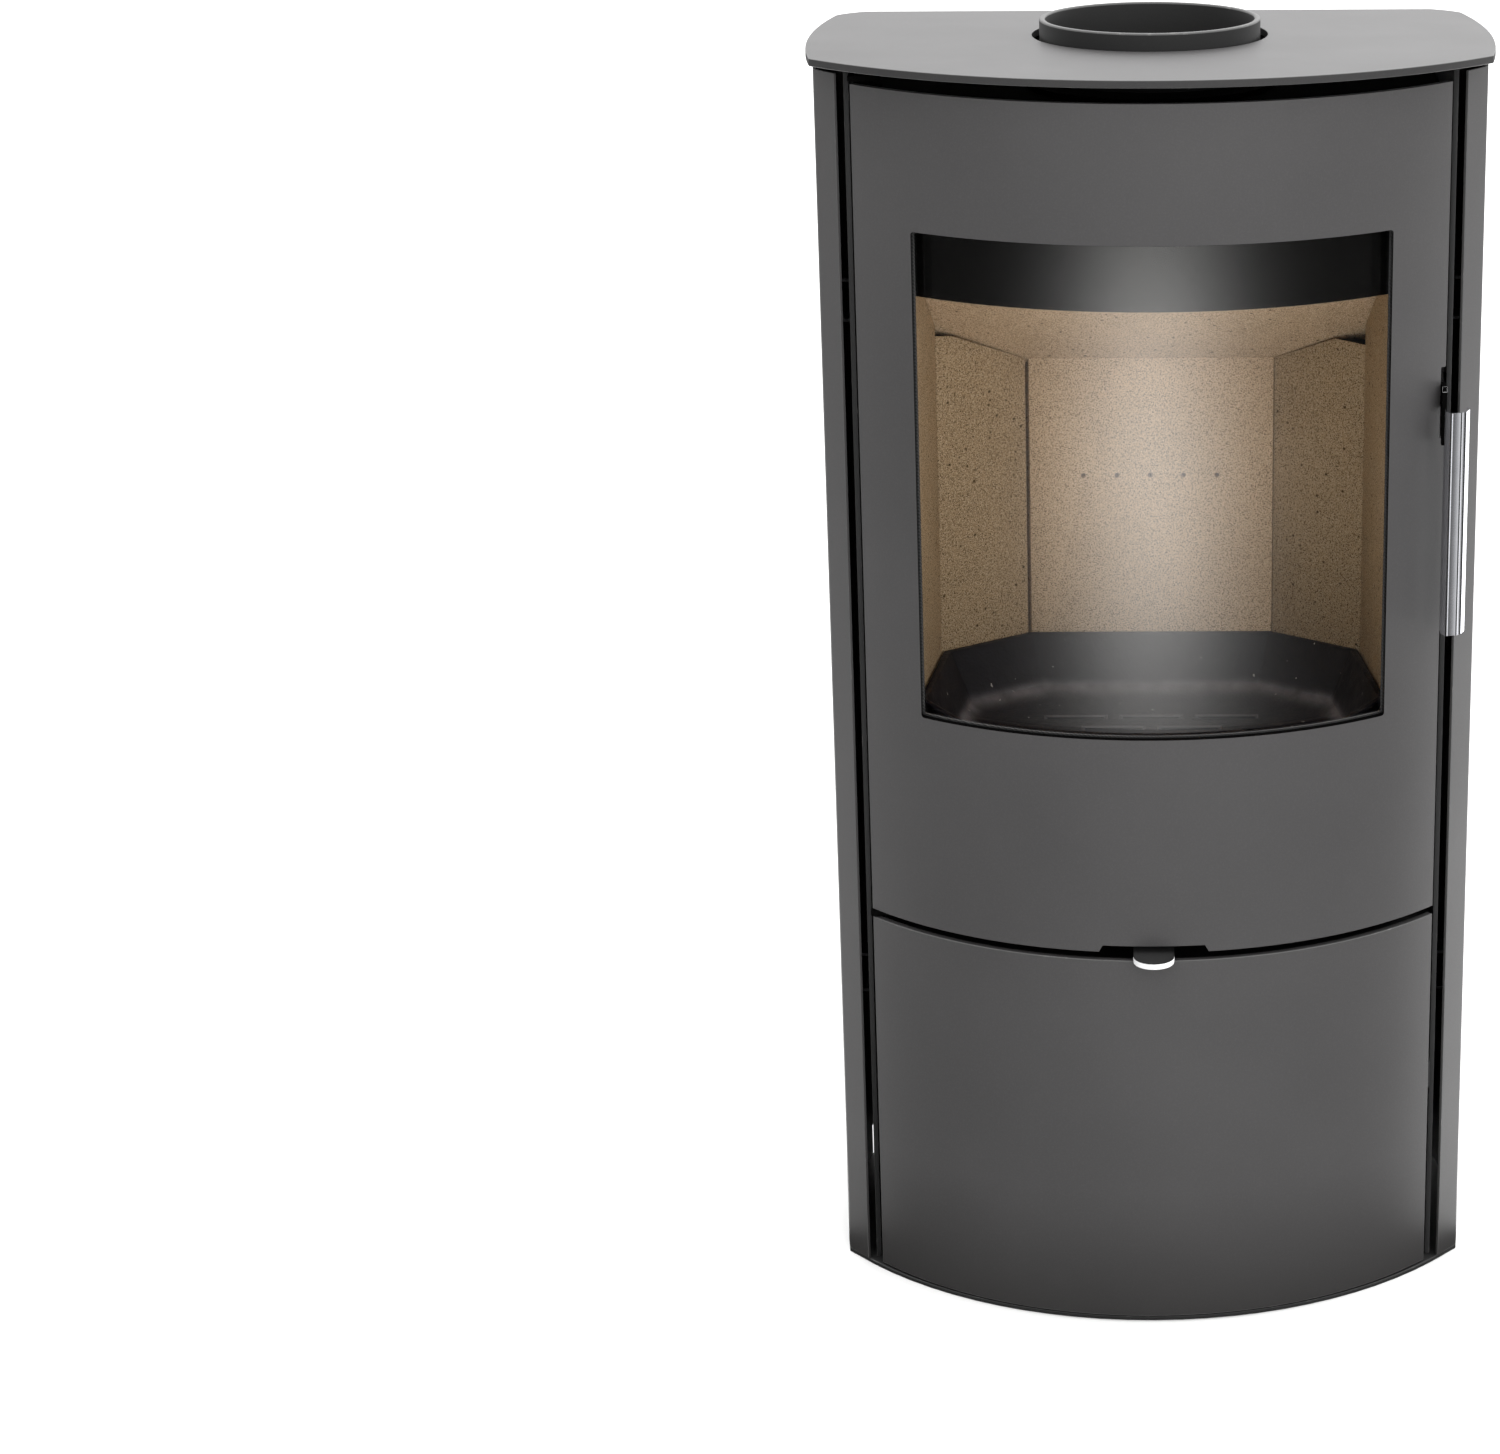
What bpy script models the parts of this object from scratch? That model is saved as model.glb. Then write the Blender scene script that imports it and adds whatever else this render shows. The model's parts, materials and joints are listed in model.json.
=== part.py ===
"""Free-standing wood stove: bowed steel front, glazed fire door, wood store with its own door.

Metres, +Z up. Places are worked out in the stove's own layout: x = 0 is the middle,
y = 0 is the front of the top plate and grows towards the wall, z = 0 is the floor.
One empty then shifts the layout, so that the origin is the middle of the footprint.
The doors, their seal, the glass and the front frame share one upright axis, DOOR_CENTRE_Y,
and are turned about it.
"""

import math

import bmesh
import bpy
from mathutils import Matrix, Vector

# Clearances
GAP = 0.0003
HINGE_CLEARANCE = 0.0003
FACET = math.radians(4)
FLUE_FACETS = 48
CUT_MARGIN = 0.010

# Top plate: the overall size
PLATE_HALF_WIDTH = 0.2311
PLATE_DEPTH = 0.308
PLATE_HEIGHT = 0.877
PLATE_THICKNESS = 0.005
PLATE_FRONT_RADIUS = 0.311
PLATE_SIDE_RADIUS = 0.515
PLATE_WIDEST_Y = 0.182
PLATE_CORNER_RUN = 0.017
PLATE_CORNER_INSET = 0.0316
PLATE_CORNER_BULGE = 0.0017
PLATE_UNDERSIDE = PLATE_HEIGHT - PLATE_THICKNESS
WALL_TOP = PLATE_UNDERSIDE - GAP

# Body: walls set in from the top plate
WALL_INSET = 0.0326
BODY_WALL = 0.0035
BODY_INNER_HALF = PLATE_HALF_WIDTH - WALL_INSET
BODY_OUTER_HALF = BODY_INNER_HALF + BODY_WALL
INSIDE_HALF = BODY_INNER_HALF - GAP
BACK_INSET = 0.036
BODY_BACK_WALL = 0.004
BODY_BACK_Y = PLATE_DEPTH - BACK_INSET
INSIDE_BACK_Y = BODY_BACK_Y - GAP
BASE_THICKNESS = 0.003
WALL_BOTTOM = BASE_THICKNESS + GAP
FIREBOX_PLATE = 0.004
THIN_PLATE = 0.003

# Flue collar
COLLAR_RADIUS = 0.075
COLLAR_WALL = 0.004
COLLAR_RISE = 0.011
COLLAR_BACK_DISTANCE = 0.074
COLLAR_MARGIN = 0.005
COLLAR_FLANGE_WIDTH = 0.009
COLLAR_FLANGE_EDGE = 0.003
COLLAR_FLANGE_THICKNESS = 0.004
COLLAR_Y = BODY_BACK_Y - COLLAR_BACK_DISTANCE
COLLAR_BORE = COLLAR_RADIUS - COLLAR_WALL
ROOF_REAR_Y = COLLAR_Y + COLLAR_RADIUS + COLLAR_FLANGE_WIDTH + COLLAR_FLANGE_EDGE

# Doors
DOOR_RADIUS = 0.272
DOOR_SETBACK = 0.007
DOOR_THICKNESS = 0.005
DOOR_SIDE_GAP = 0.0015
STORE_DOOR_BOTTOM = 0.0045
STORE_DOOR_TOP = 0.276
DOOR_GAP = 0.006
DOOR_TOP_GAP = 0.011
WINDOW_SIDE_MARGIN = 0.0395
WINDOW_BOTTOM_MARGIN = 0.1535
WINDOW_TOP_MARGIN = 0.091
WINDOW_CORNER_RADIUS = 0.002
LEVER_NOTCH_HALF_WIDTH = 0.0375
LEVER_NOTCH_TAPER = 0.0025
LEVER_NOTCH_HEIGHT = 0.0047
DOOR_CENTRE_Y = DOOR_SETBACK + DOOR_RADIUS
DOOR_INNER_RADIUS = DOOR_RADIUS - DOOR_THICKNESS
DOOR_BACK = DOOR_INNER_RADIUS - GAP
DOOR_HALF_CHORD = BODY_INNER_HALF - DOOR_SIDE_GAP
DOOR_HALF_ANGLE = math.asin(DOOR_HALF_CHORD / DOOR_RADIUS)
DOOR_EDGE_Y = DOOR_CENTRE_Y - math.sqrt(DOOR_RADIUS**2 - DOOR_HALF_CHORD**2)
FIRE_DOOR_BOTTOM = STORE_DOOR_TOP + DOOR_GAP
FIRE_DOOR_TOP = PLATE_UNDERSIDE - DOOR_TOP_GAP
WINDOW_HALF_WIDTH = DOOR_HALF_CHORD - WINDOW_SIDE_MARGIN
WINDOW_BOTTOM = FIRE_DOOR_BOTTOM + WINDOW_BOTTOM_MARGIN
WINDOW_TOP = FIRE_DOOR_TOP - WINDOW_TOP_MARGIN
BODY_FRONT_SETBACK = 0.01155
BODY_FRONT_Y = DOOR_EDGE_Y + BODY_FRONT_SETBACK

# Glass and what holds it
GLASS_THICKNESS = 0.004
GLASS_OVERLAP = 0.0105
GLASS_MARGIN = 0.0085
GASKET_THICKNESS = 0.0018
GASKET_SHOW = 0.001
RETAINER_SHEET = 0.002
RETAINER_BITE = 0.0075
RETAINER_LEG = 0.0032
RETAINER_END_GAP = 0.002
AIR_WASH_DROP = 0.0456
AIR_WASH_RISE = 0.020
AIR_WASH_SHEET = 0.002
AIR_WASH_BOTTOM = WINDOW_TOP - AIR_WASH_DROP
GLASS_RADIUS = DOOR_BACK - GASKET_THICKNESS - GAP
RETAINER_RADIUS = GLASS_RADIUS - GLASS_THICKNESS - GAP

# Heights inside, from the two doors and the top plate
ASH_FLOOR_LAP = 0.0004
ASH_CHAMBER_HEIGHT = 0.1004
STORE_CEILING_DROP = 0.014
ROOF_DROP = 0.034
ASH_FLOOR_Z = FIRE_DOOR_BOTTOM - ASH_FLOOR_LAP
FIREBOX_FLOOR_Z = ASH_FLOOR_Z + ASH_CHAMBER_HEIGHT
STORE_CEILING_Z = STORE_DOOR_TOP - STORE_CEILING_DROP
FIREBOX_TOP_Z = PLATE_UNDERSIDE - ROOF_DROP
LINING_BOTTOM = FIREBOX_FLOOR_Z + FIREBOX_PLATE + GAP

# Door frame, rope seal and front frame
DOOR_FRAME_BAR = 0.0095
DOOR_FRAME_DEPTH = 0.0097
DOOR_FRAME_FOOT = 0.0045
DOOR_FRAME_HEADROOM = 0.002
ROPE_DEPTH = 0.0039
ROPE_WIDTH = 0.0085
FRONT_FRAME_THICKNESS = 0.004
FIRE_OPENING_SILL = 0.046
FIRE_OPENING_LINTEL = 0.026
ASH_OPENING_LINTEL = 0.010
FRAME_FLANGE = 0.0125
FRAME_LAP = math.radians(0.8)
DOOR_FRAME_BOTTOM = FIRE_DOOR_BOTTOM + DOOR_FRAME_FOOT
DOOR_FRAME_TOP = FIREBOX_TOP_Z - DOOR_FRAME_HEADROOM
ROPE_RADIUS = DOOR_BACK - DOOR_FRAME_DEPTH - GAP
SEAL_RADIUS = ROPE_RADIUS - ROPE_DEPTH - GAP
FRAME_BACK = SEAL_RADIUS - FRONT_FRAME_THICKNESS - GAP

# Side panels, base plate and rear cover
SIDE_INSET = 0.0045
SIDE_SHEET = 0.002
SIDE_STRIP_INSET = 0.0231
SIDE_STRIP_OVERHANG = 0.003
SIDE_BEND_RUN = 0.018
SIDE_TOP_CLEARANCE = 0.0055
SIDE_REAR_MARGIN = 0.018
SIDE_RETURN_INSET = 0.0321
SIDE_RETURN_MARGIN = 0.003
SIDE_NOTCH_HEIGHT = 0.026
SIDE_STRIP_HALF = PLATE_HALF_WIDTH - SIDE_STRIP_INSET
SIDE_STRIP_Y = BODY_FRONT_Y - SIDE_STRIP_OVERHANG
SIDE_BEND_Y = SIDE_STRIP_Y + SIDE_BEND_RUN
SIDE_REAR_Y = PLATE_DEPTH - SIDE_REAR_MARGIN
SIDE_RETURN_HALF = PLATE_HALF_WIDTH - SIDE_RETURN_INSET
SIDE_RETURN_Y = PLATE_DEPTH - SIDE_RETURN_MARGIN
BASE_FRONT_MARGIN = 0.008
BASE_SETBACK = 0.009
BASE_CORNER_INSET = 0.0151
BASE_REAR_MARGIN = 0.006
BASE_FRONT_RADIUS = DOOR_RADIUS + BASE_FRONT_MARGIN
BASE_CORNER_HALF = PLATE_HALF_WIDTH - BASE_CORNER_INSET
BASE_SIDE_END_Y = BODY_BACK_Y + BASE_REAR_MARGIN
REAR_COVER_MARGIN = 0.0045
REAR_COVER_SHEET = 0.002
REAR_COVER_LAP = 0.0015
REAR_COVER_Y = PLATE_DEPTH - REAR_COVER_MARGIN
REAR_COVER_HALF = SIDE_RETURN_HALF - REAR_COVER_LAP
VENT_COUNT = 11
VENT_WIDTH = 0.008
VENT_HEIGHT = 0.045
VENT_PITCH = 0.030
VENT_LOW_Z = 0.060
VENT_TOP_DROP = 0.082
VENT_HIGH_Z = PLATE_UNDERSIDE - VENT_TOP_DROP
BRACKET_SHEET = 0.002
BRACKET_HEIGHT = 0.030
BRACKET_LENGTH = 0.024
BRACKET_LOW_Z = 0.200
BRACKET_TOP_DROP = 0.172
BRACKET_HIGH_Z = PLATE_UNDERSIDE - BRACKET_TOP_DROP
SPACER_LENGTH = 0.120

# Firebox lining
LINING_THICKNESS = 0.025
LINING_FRONT_INSET = 0.0355
LINING_FRONT_Y = 0.085
LINING_BEND_INSET = 0.013
LINING_DIAGONAL_RUN = 0.0615
LINING_DIAGONAL_DEPTH = 0.046
LINING_BACK_GAP = 0.026
LINING_JOINT = 0.0022
LINING_DIP = 0.003
LINING_FRONT_HALF = BODY_INNER_HALF - LINING_FRONT_INSET
LINING_BEND_HALF = LINING_FRONT_HALF - LINING_BEND_INSET
LINING_BACK_HALF = LINING_BEND_HALF - LINING_DIAGONAL_RUN
LINING_BACK_Y = BODY_BACK_Y - LINING_BACK_GAP
LINING_BEND_Y = LINING_BACK_Y - LINING_DIAGONAL_DEPTH
BAFFLE_DROP = 0.197
BAFFLE_SLOPE = 0.739
BAFFLE_THICKNESS = 0.025
BAFFLE_FRONT_GAP = 0.00189
BAFFLE_REAR_LAP = 0.0105
BAFFLE_SIDE_LAP = 0.017
BAFFLE_REAR_Z = FIREBOX_TOP_Z - BAFFLE_DROP
BAFFLE_REAR_Y = LINING_BACK_Y + BAFFLE_REAR_LAP
BAFFLE_HALF = LINING_FRONT_HALF + BAFFLE_SIDE_LAP
AIR_JET_COUNT = 5
AIR_JET_PITCH = 0.024
AIR_JET_RADIUS = 0.0018
AIR_JET_DROP = 0.087
AIR_JET_Z = BAFFLE_REAR_Z - AIR_JET_DROP
DEFLECTOR_DROP = 0.038
DEFLECTOR_RAIL_WIDTH = 0.016
DEFLECTOR_RAIL_DROP = 0.014
DEFLECTOR_RAIL_LENGTH = 0.0329
DEFLECTOR_RAIL_GAP = 0.002
DEFLECTOR_Z = FIREBOX_TOP_Z - DEFLECTOR_DROP

# Fire basin with its grate slots
BASIN_CLEARANCE = 0.0015
BASIN_RIM_RISE = 0.055
BASIN_LIP_RISE = 0.028
BASIN_FLOOR_RISE = 0.012
BASIN_FRONT_MARGIN = 0.0065
BASIN_RIM_THICKNESS = 0.005
BASIN_SLOPE_RUN = 0.020
BASIN_FILLET_SHARE = 0.7
BASIN_FILLET_RUN = 0.008
BASIN_RIM_Z = FIREBOX_FLOOR_Z + BASIN_RIM_RISE
BASIN_LIP_Z = FIREBOX_FLOOR_Z + BASIN_LIP_RISE
BASIN_FLOOR_Z = FIREBOX_FLOOR_Z + BASIN_FLOOR_RISE
BASIN_FRONT_HALF = LINING_BACK_HALF + BASIN_FRONT_MARGIN
GRATE_SIDE_MARGIN = 0.0065
GRATE_FRONT_Y = 0.070
GRATE_BACK_MARGIN = 0.056
GRATE_HALF = LINING_BACK_HALF - GRATE_SIDE_MARGIN
GRATE_REAR_Y = LINING_BACK_Y - GRATE_BACK_MARGIN
SLOT_ROWS = 5
SLOT_COLUMNS = 3
SLOT_WIDTH = 0.007
SLOT_GAP = 0.011
SLOT_SIDE_MARGIN = 0.0065
SLOT_REAR_MARGIN = 0.013
SLOT_FRONT_MARGIN = 0.0122
SLOT_SPAN = 2 * (GRATE_HALF - SLOT_SIDE_MARGIN)
SLOT_LENGTH = (SLOT_SPAN - (SLOT_COLUMNS - 1) * SLOT_GAP) / SLOT_COLUMNS
SLOT_REAR_Y = GRATE_REAR_Y - SLOT_REAR_MARGIN
SLOT_ROW_PITCH = (SLOT_REAR_Y - GRATE_FRONT_Y - SLOT_FRONT_MARGIN) / (SLOT_ROWS - 1)

# Ash pan
PAN_SIDE_MARGIN = 0.033
PAN_FRONT_MARGIN = 0.008
PAN_REAR_MARGIN = 0.003
PAN_HEADROOM = 0.0271
PAN_SHEET = 0.0015
PAN_GRIP_HALF = 0.030
PAN_GRIP_REACH = 0.012
PAN_GRIP_DROP = 0.003
PAN_GRIP_SHEET = 0.003
PAN_HALF = GRATE_HALF + PAN_SIDE_MARGIN
PAN_FRONT_Y = GRATE_FRONT_Y - PAN_FRONT_MARGIN
PAN_REAR_Y = GRATE_REAR_Y + PAN_REAR_MARGIN

# Hinges
HINGE_INSET = 0.009
HINGE_DEPTH = 0.00394
PIN_RADIUS = 0.0030
PIN_COLLAR_RADIUS = 0.0055
PIN_HEAD = 0.002
PIN_END_CLEARANCE = 0.001
LUG_LENGTH_OUT = 0.006
LUG_LENGTH_IN = 0.0112
LUG_DEPTH = 0.0102
LUG_HEIGHT = 0.0096
LUG_SIDE_CLEARANCE = 0.0012
HINGE_PLATE = 0.0036
HINGE_PLATE_REACH = 0.022
HINGE_PLATE_BACK = 0.029
HINGE_PLATE_FRONT = 0.0065
TOP_HINGE_CLEARANCE = 0.002
HINGE_X = HINGE_INSET - DOOR_HALF_CHORD
HINGE_RADIUS = DOOR_INNER_RADIUS - HINGE_DEPTH
HINGE_Y = DOOR_CENTRE_Y - math.sqrt(HINGE_RADIUS**2 - HINGE_X**2)
HINGE_ANGLE = math.atan2(HINGE_X, DOOR_CENTRE_Y - HINGE_Y)
LUG_PIN_DEPTH = LUG_HEIGHT - PIN_END_CLEARANCE
MIDDLE_PLATE_BOTTOM = (STORE_DOOR_TOP + FIRE_DOOR_BOTTOM - HINGE_PLATE) / 2
TOP_HINGE_PLATE_BOTTOM = FIRE_DOOR_TOP + TOP_HINGE_CLEARANCE

# Handle and latch
HANDLE_INSET = 0.0015
HANDLE_WIDTH = 0.0165
HANDLE_DEPTH = 0.017
HANDLE_LENGTH = 0.155
HANDLE_DROP = 0.161
HANDLE_STAND_OFF = 0.0385
HANDLE_SHEET = 0.0015
HANDLE_PROFILE = (
    (0.0, 0.31),
    (0.06, 0.13),
    (0.234, 0.0),
    (0.425, 0.025),
    (0.617, 0.015),
    (0.72, 0.115),
    (0.83, 0.24),
    (0.92, 0.43),
    (1.0, 0.68),
)
HANDLE_NOTCH_SIDE = 0.0005
HANDLE_NOTCH_DROP = 0.030
HANDLE_NOTCH_RISE = 0.0185
LATCH_RISE = 0.370
LATCH_DEPTH = 0.00705
LATCH_ARM_OFFSET = 0.0015
LATCH_ARM_THICKNESS = 0.0031
LATCH_ARM_HALF_HEIGHT = 0.0072
LATCH_FOOT_LENGTH = 0.046
LATCH_FOOT_DEPTH = 0.006
LATCH_TOOTH_REACH = 0.0148
LATCH_TOOTH_WIDTH = 0.0045
LATCH_TOOTH_HEIGHT = 0.0105
LATCH_TOOTH_CHAMFER = 0.002
LATCH_TOE_CHAMFER = 0.004
LATCH_PIN_RADIUS = 0.0023
LATCH_PIN_HEAD_RADIUS = 0.0037
LATCH_PIN_HEAD = 0.001
LATCH_PIN_INSET = 0.0015
LATCH_BLOCK_WIDTH = 0.012
LATCH_BLOCK_REAR = 0.0045
LATCH_BLOCK_EDGE = 0.0005
CATCH_SETBACK = 0.0065
CATCH_RADIUS = 0.0028
CATCH_BASE_RADIUS = 0.005
CATCH_BASE = 0.002
CATCH_LENGTH = 0.0095
HANDLE_INNER_X = DOOR_HALF_CHORD - HANDLE_INSET
LATCH_ARM_X = HANDLE_INNER_X - LATCH_ARM_OFFSET
LATCH_BLOCK_X = LATCH_ARM_X - LATCH_BLOCK_WIDTH
LATCH_Y = DOOR_EDGE_Y + LATCH_DEPTH
LATCH_Z = FIRE_DOOR_BOTTOM + LATCH_RISE
CATCH_Y = LATCH_Y + CATCH_SETBACK
HANDLE_FRONT_Y = LATCH_Y - HANDLE_STAND_OFF
HANDLE_BOTTOM = LATCH_Z - HANDLE_DROP
HANDLE_NOTCH_X = LATCH_ARM_X - HANDLE_NOTCH_SIDE

# Air lever
LEVER_PIVOT_GAP = 0.012
LEVER_REACH = 0.012
LEVER_WIDTH = 0.028
LEVER_NOSE_STEPS = 12
LEVER_THICKNESS = 0.004
LEVER_TRAVEL = 0.022
LEVER_HUB_RADIUS = 0.020
LEVER_FAN_INNER = 0.098
LEVER_FAN_OUTER = 0.132
AIR_HOLE_RADIUS = 0.0055
AIR_HOLE_CIRCLE = 0.115
AIR_HOLE_COUNT = 3
PIVOT_RADIUS = 0.004
PIVOT_HEAD_RADIUS = 0.008
PIVOT_HEAD = 0.003
LEVER_PIVOT_Y = PAN_REAR_Y + LEVER_PIVOT_GAP
LEVER_TOP = ASH_FLOOR_Z - GAP
LEVER_RADIUS = LEVER_PIVOT_Y + LEVER_REACH
LEVER_SWING = math.asin(LEVER_TRAVEL / LEVER_RADIUS)
FOOTPRINT_MIDDLE_Y = (PLATE_DEPTH - LEVER_REACH) / 2

# Store door catch and stiffeners
MAGNET_LENGTH = 0.022
MAGNET_DEPTH = 0.016
MAGNET_HEIGHT = 0.020
MAGNET_Z = 0.140
MAGNET_SETBACK = 0.00405
STRIKER_INSET = 0.0078
STRIKER_WIDTH = 0.0132
STIFFENER_DEPTH = 0.010
STIFFENER_HEIGHT = 0.003
STIFFENER_HALF_ANGLE = math.radians(38)
STIFFENER_Z = 0.030
MAGNET_Y = DOOR_EDGE_Y + MAGNET_SETBACK
STRIKER_OUTER_X = DOOR_HALF_CHORD - STRIKER_INSET
STRIKER_INNER_X = STRIKER_OUTER_X - STRIKER_WIDTH


def clear_scene():
    for thing in list(bpy.data.objects):
        bpy.data.objects.remove(thing, do_unlink=True)


def material(name, colour, roughness, metallic=0.0, transmission=0.0):
    made = bpy.data.materials.new(name)
    made.use_nodes = True
    shader = made.node_tree.nodes["Principled BSDF"]
    shader.inputs["Base Color"].default_value = (*colour, 1.0)
    shader.inputs["Roughness"].default_value = roughness
    shader.inputs["Metallic"].default_value = metallic
    shader.inputs["Transmission Weight"].default_value = transmission
    return made


def anchor(name, place, parent=None):
    """An empty that carries a group of pieces; place is in the stove's layout."""
    empty = bpy.data.objects.new(name, None)
    bpy.context.collection.objects.link(empty)
    empty["place"] = place
    if parent is None:
        empty.location = place
    else:
        empty.parent = parent
        empty.location = Vector(place) - Vector(parent["place"])
    return empty


def piece(name, mesh, carrier, finish, smooth=True):
    """One sub-part, modelled in the stove's layout and hung on its carrier's empty."""
    bmesh.ops.recalc_face_normals(mesh, faces=mesh.faces)
    data = bpy.data.meshes.new(name)
    mesh.to_mesh(data)
    mesh.free()
    made = bpy.data.objects.new(name, data)
    bpy.context.collection.objects.link(made)
    made.parent = carrier
    if finish is not None:
        data.transform(Matrix.Translation(-Vector(carrier["place"])))
        data.materials.append(finish)
        if smooth:
            data.shade_smooth()
            data.set_sharp_from_angle(angle=math.radians(30))
    return made


def boolean(target, mesh, operation="DIFFERENCE"):
    """Cut a closed shape out of a piece, or join it on."""
    carrier = target.parent
    cutter = piece(f"shape_for_{target.name}", mesh, carrier, None)
    cutter.data.transform(Matrix.Translation(-Vector(carrier["place"])))
    cutter.hide_render = True
    cutter.display_type = "WIRE"
    step = target.modifiers.new("Shape", "BOOLEAN")
    step.operation = operation
    step.object = cutter
    return target


def extrusion(outline, axis, low, high):
    """Closed prism: the outline is in (x, y), (y, z) or (x, z) for axis z, x or y."""
    mesh = bmesh.new()
    add_extrusion(mesh, outline, axis, low, high)
    return mesh


def add_extrusion(mesh, outline, axis, low, high):
    def corner(a, b, along):
        if axis == "z":
            return (a, b, along)
        if axis == "x":
            return (along, a, b)
        return (a, along, b)

    bottom = [mesh.verts.new(corner(a, b, low)) for a, b in outline]
    top = [mesh.verts.new(corner(a, b, high)) for a, b in outline]
    add_sides(mesh, bottom, top)
    mesh.faces.new(bottom)
    mesh.faces.new(top)


def add_sides(mesh, first, second):
    for index in range(len(first)):
        after = (index + 1) % len(first)
        mesh.faces.new((first[index], first[after], second[after], second[index]))


def block(x_range, y_range, z_range):
    mesh = bmesh.new()
    add_block(mesh, x_range, y_range, z_range)
    return mesh


def add_block(mesh, x_range, y_range, z_range):
    left, right = x_range
    front, back = y_range
    add_extrusion(mesh, [(left, front), (right, front), (right, back), (left, back)], "z", *z_range)


def turned(profile, start, end, centre=(0.0, DOOR_CENTRE_Y), facet=FACET):
    """Turn a closed (radius, z) profile about an upright axis; angle 0 faces the front."""
    mesh = bmesh.new()
    whole = end - start > 2 * math.pi - 1e-6
    count = max(2, math.ceil((end - start) / facet - 1e-6))
    rings = []
    for index in range(count if whole else count + 1):
        angle = start + (end - start) * index / count
        ring = []
        for radius, z in profile:
            x = centre[0] + radius * math.sin(angle)
            y = centre[1] - radius * math.cos(angle)
            ring.append(mesh.verts.new((x, y, z)))
        rings.append(ring)
    for first, second in zip(rings, rings[1:]):
        add_sides(mesh, first, second)
    if whole:
        add_sides(mesh, rings[-1], rings[0])
    else:
        mesh.faces.new(rings[0])
        mesh.faces.new(rings[-1])
    return mesh


def spindle(steps, centre, facets=16):
    """Solid turned pin: steps are (radius, z) pairs from one end to the other."""
    mesh = bmesh.new()
    rings = []
    for radius, z in steps:
        ring = []
        for index in range(facets):
            angle = 2 * math.pi * index / facets
            x = centre[0] + radius * math.cos(angle)
            y = centre[1] + radius * math.sin(angle)
            ring.append(mesh.verts.new((x, y, z)))
        rings.append(ring)
    for first, second in zip(rings, rings[1:]):
        add_sides(mesh, first, second)
    mesh.faces.new(rings[0])
    mesh.faces.new(rings[-1])
    return mesh


def drill(radius, low, high, centre, facets=16):
    """Cutter for a round hole through a plate that lies between two heights."""
    return spindle([(radius, low - CUT_MARGIN), (radius, high + CUT_MARGIN)], centre, facets)


def laid_spindle(steps, y, z, facets=16):
    """The same pin lying along X: steps are (radius, x) pairs."""
    mesh = spindle(steps, (0.0, 0.0), facets)
    turn = Matrix.Translation((0.0, y, z)) @ Matrix.Rotation(math.radians(90), 4, "Y")
    bmesh.ops.transform(mesh, matrix=turn, verts=mesh.verts)
    return mesh


def laid_drill(radius, low, high, y, z):
    return laid_spindle([(radius, low - CUT_MARGIN), (radius, high + CUT_MARGIN)], y, z)


def curved_plate(outer, inner, bottom, top, half_angle):
    profile = [(outer, bottom), (outer, top), (inner, top), (inner, bottom)]
    return turned(profile, -half_angle, half_angle)


def arc_y(x, radius, centre_y=DOOR_CENTRE_Y):
    return centre_y - math.sqrt(radius**2 - x**2)


def arc_points(radius, centre_y, start_x, end_x):
    """Points along a front arc from one x to another, both ends included."""
    start = math.asin(start_x / radius)
    end = math.asin(end_x / radius)
    count = max(2, math.ceil(abs(end - start) / FACET - 1e-6))
    points = []
    for index in range(count + 1):
        angle = start + (end - start) * index / count
        points.append((radius * math.sin(angle), centre_y - radius * math.cos(angle)))
    return points


def side_x(y, inset=0.0):
    """Half width of the plate's bowed side at a depth, less an inset."""
    drop = PLATE_SIDE_RADIUS - math.sqrt(PLATE_SIDE_RADIUS**2 - (y - PLATE_WIDEST_Y) ** 2)
    return PLATE_HALF_WIDTH - inset - drop


def side_points(start_y, end_y, inset=0.0, count=8):
    points = []
    for index in range(count + 1):
        y = start_y + (end_y - start_y) * index / count
        points.append((side_x(y, inset), y))
    return points


def mirrored(points):
    return [(-x, y) for x, y in reversed(points)]


def meet_arc(start, end, radius):
    """Where the line from start towards end crosses a circle about the door axis."""
    low, high = 0.0, 1.0
    for _ in range(40):
        middle = (low + high) / 2
        x = start[0] + (end[0] - start[0]) * middle
        y = start[1] + (end[1] - start[1]) * middle
        if math.hypot(x, y - DOOR_CENTRE_Y) > radius:
            low = middle
        else:
            high = middle
    return (x, y)


def offset_path(points, distance):
    """The path moved sideways to its right, with mitred corners."""
    moved = []
    for index, point in enumerate(points):
        before = points[max(index - 1, 0)]
        after = points[min(index + 1, len(points) - 1)]
        normals = []
        for first, second in ((before, point), (point, after)):
            length = math.dist(first, second)
            if length > 0:
                across = (second[1] - first[1], first[0] - second[0])
                normals.append(Vector(across) / length)
        middle = sum(normals, Vector((0.0, 0.0))).normalized()
        reach = distance / middle.dot(normals[0])
        moved.append((point[0] + middle.x * reach, point[1] + middle.y * reach))
    return moved


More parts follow.
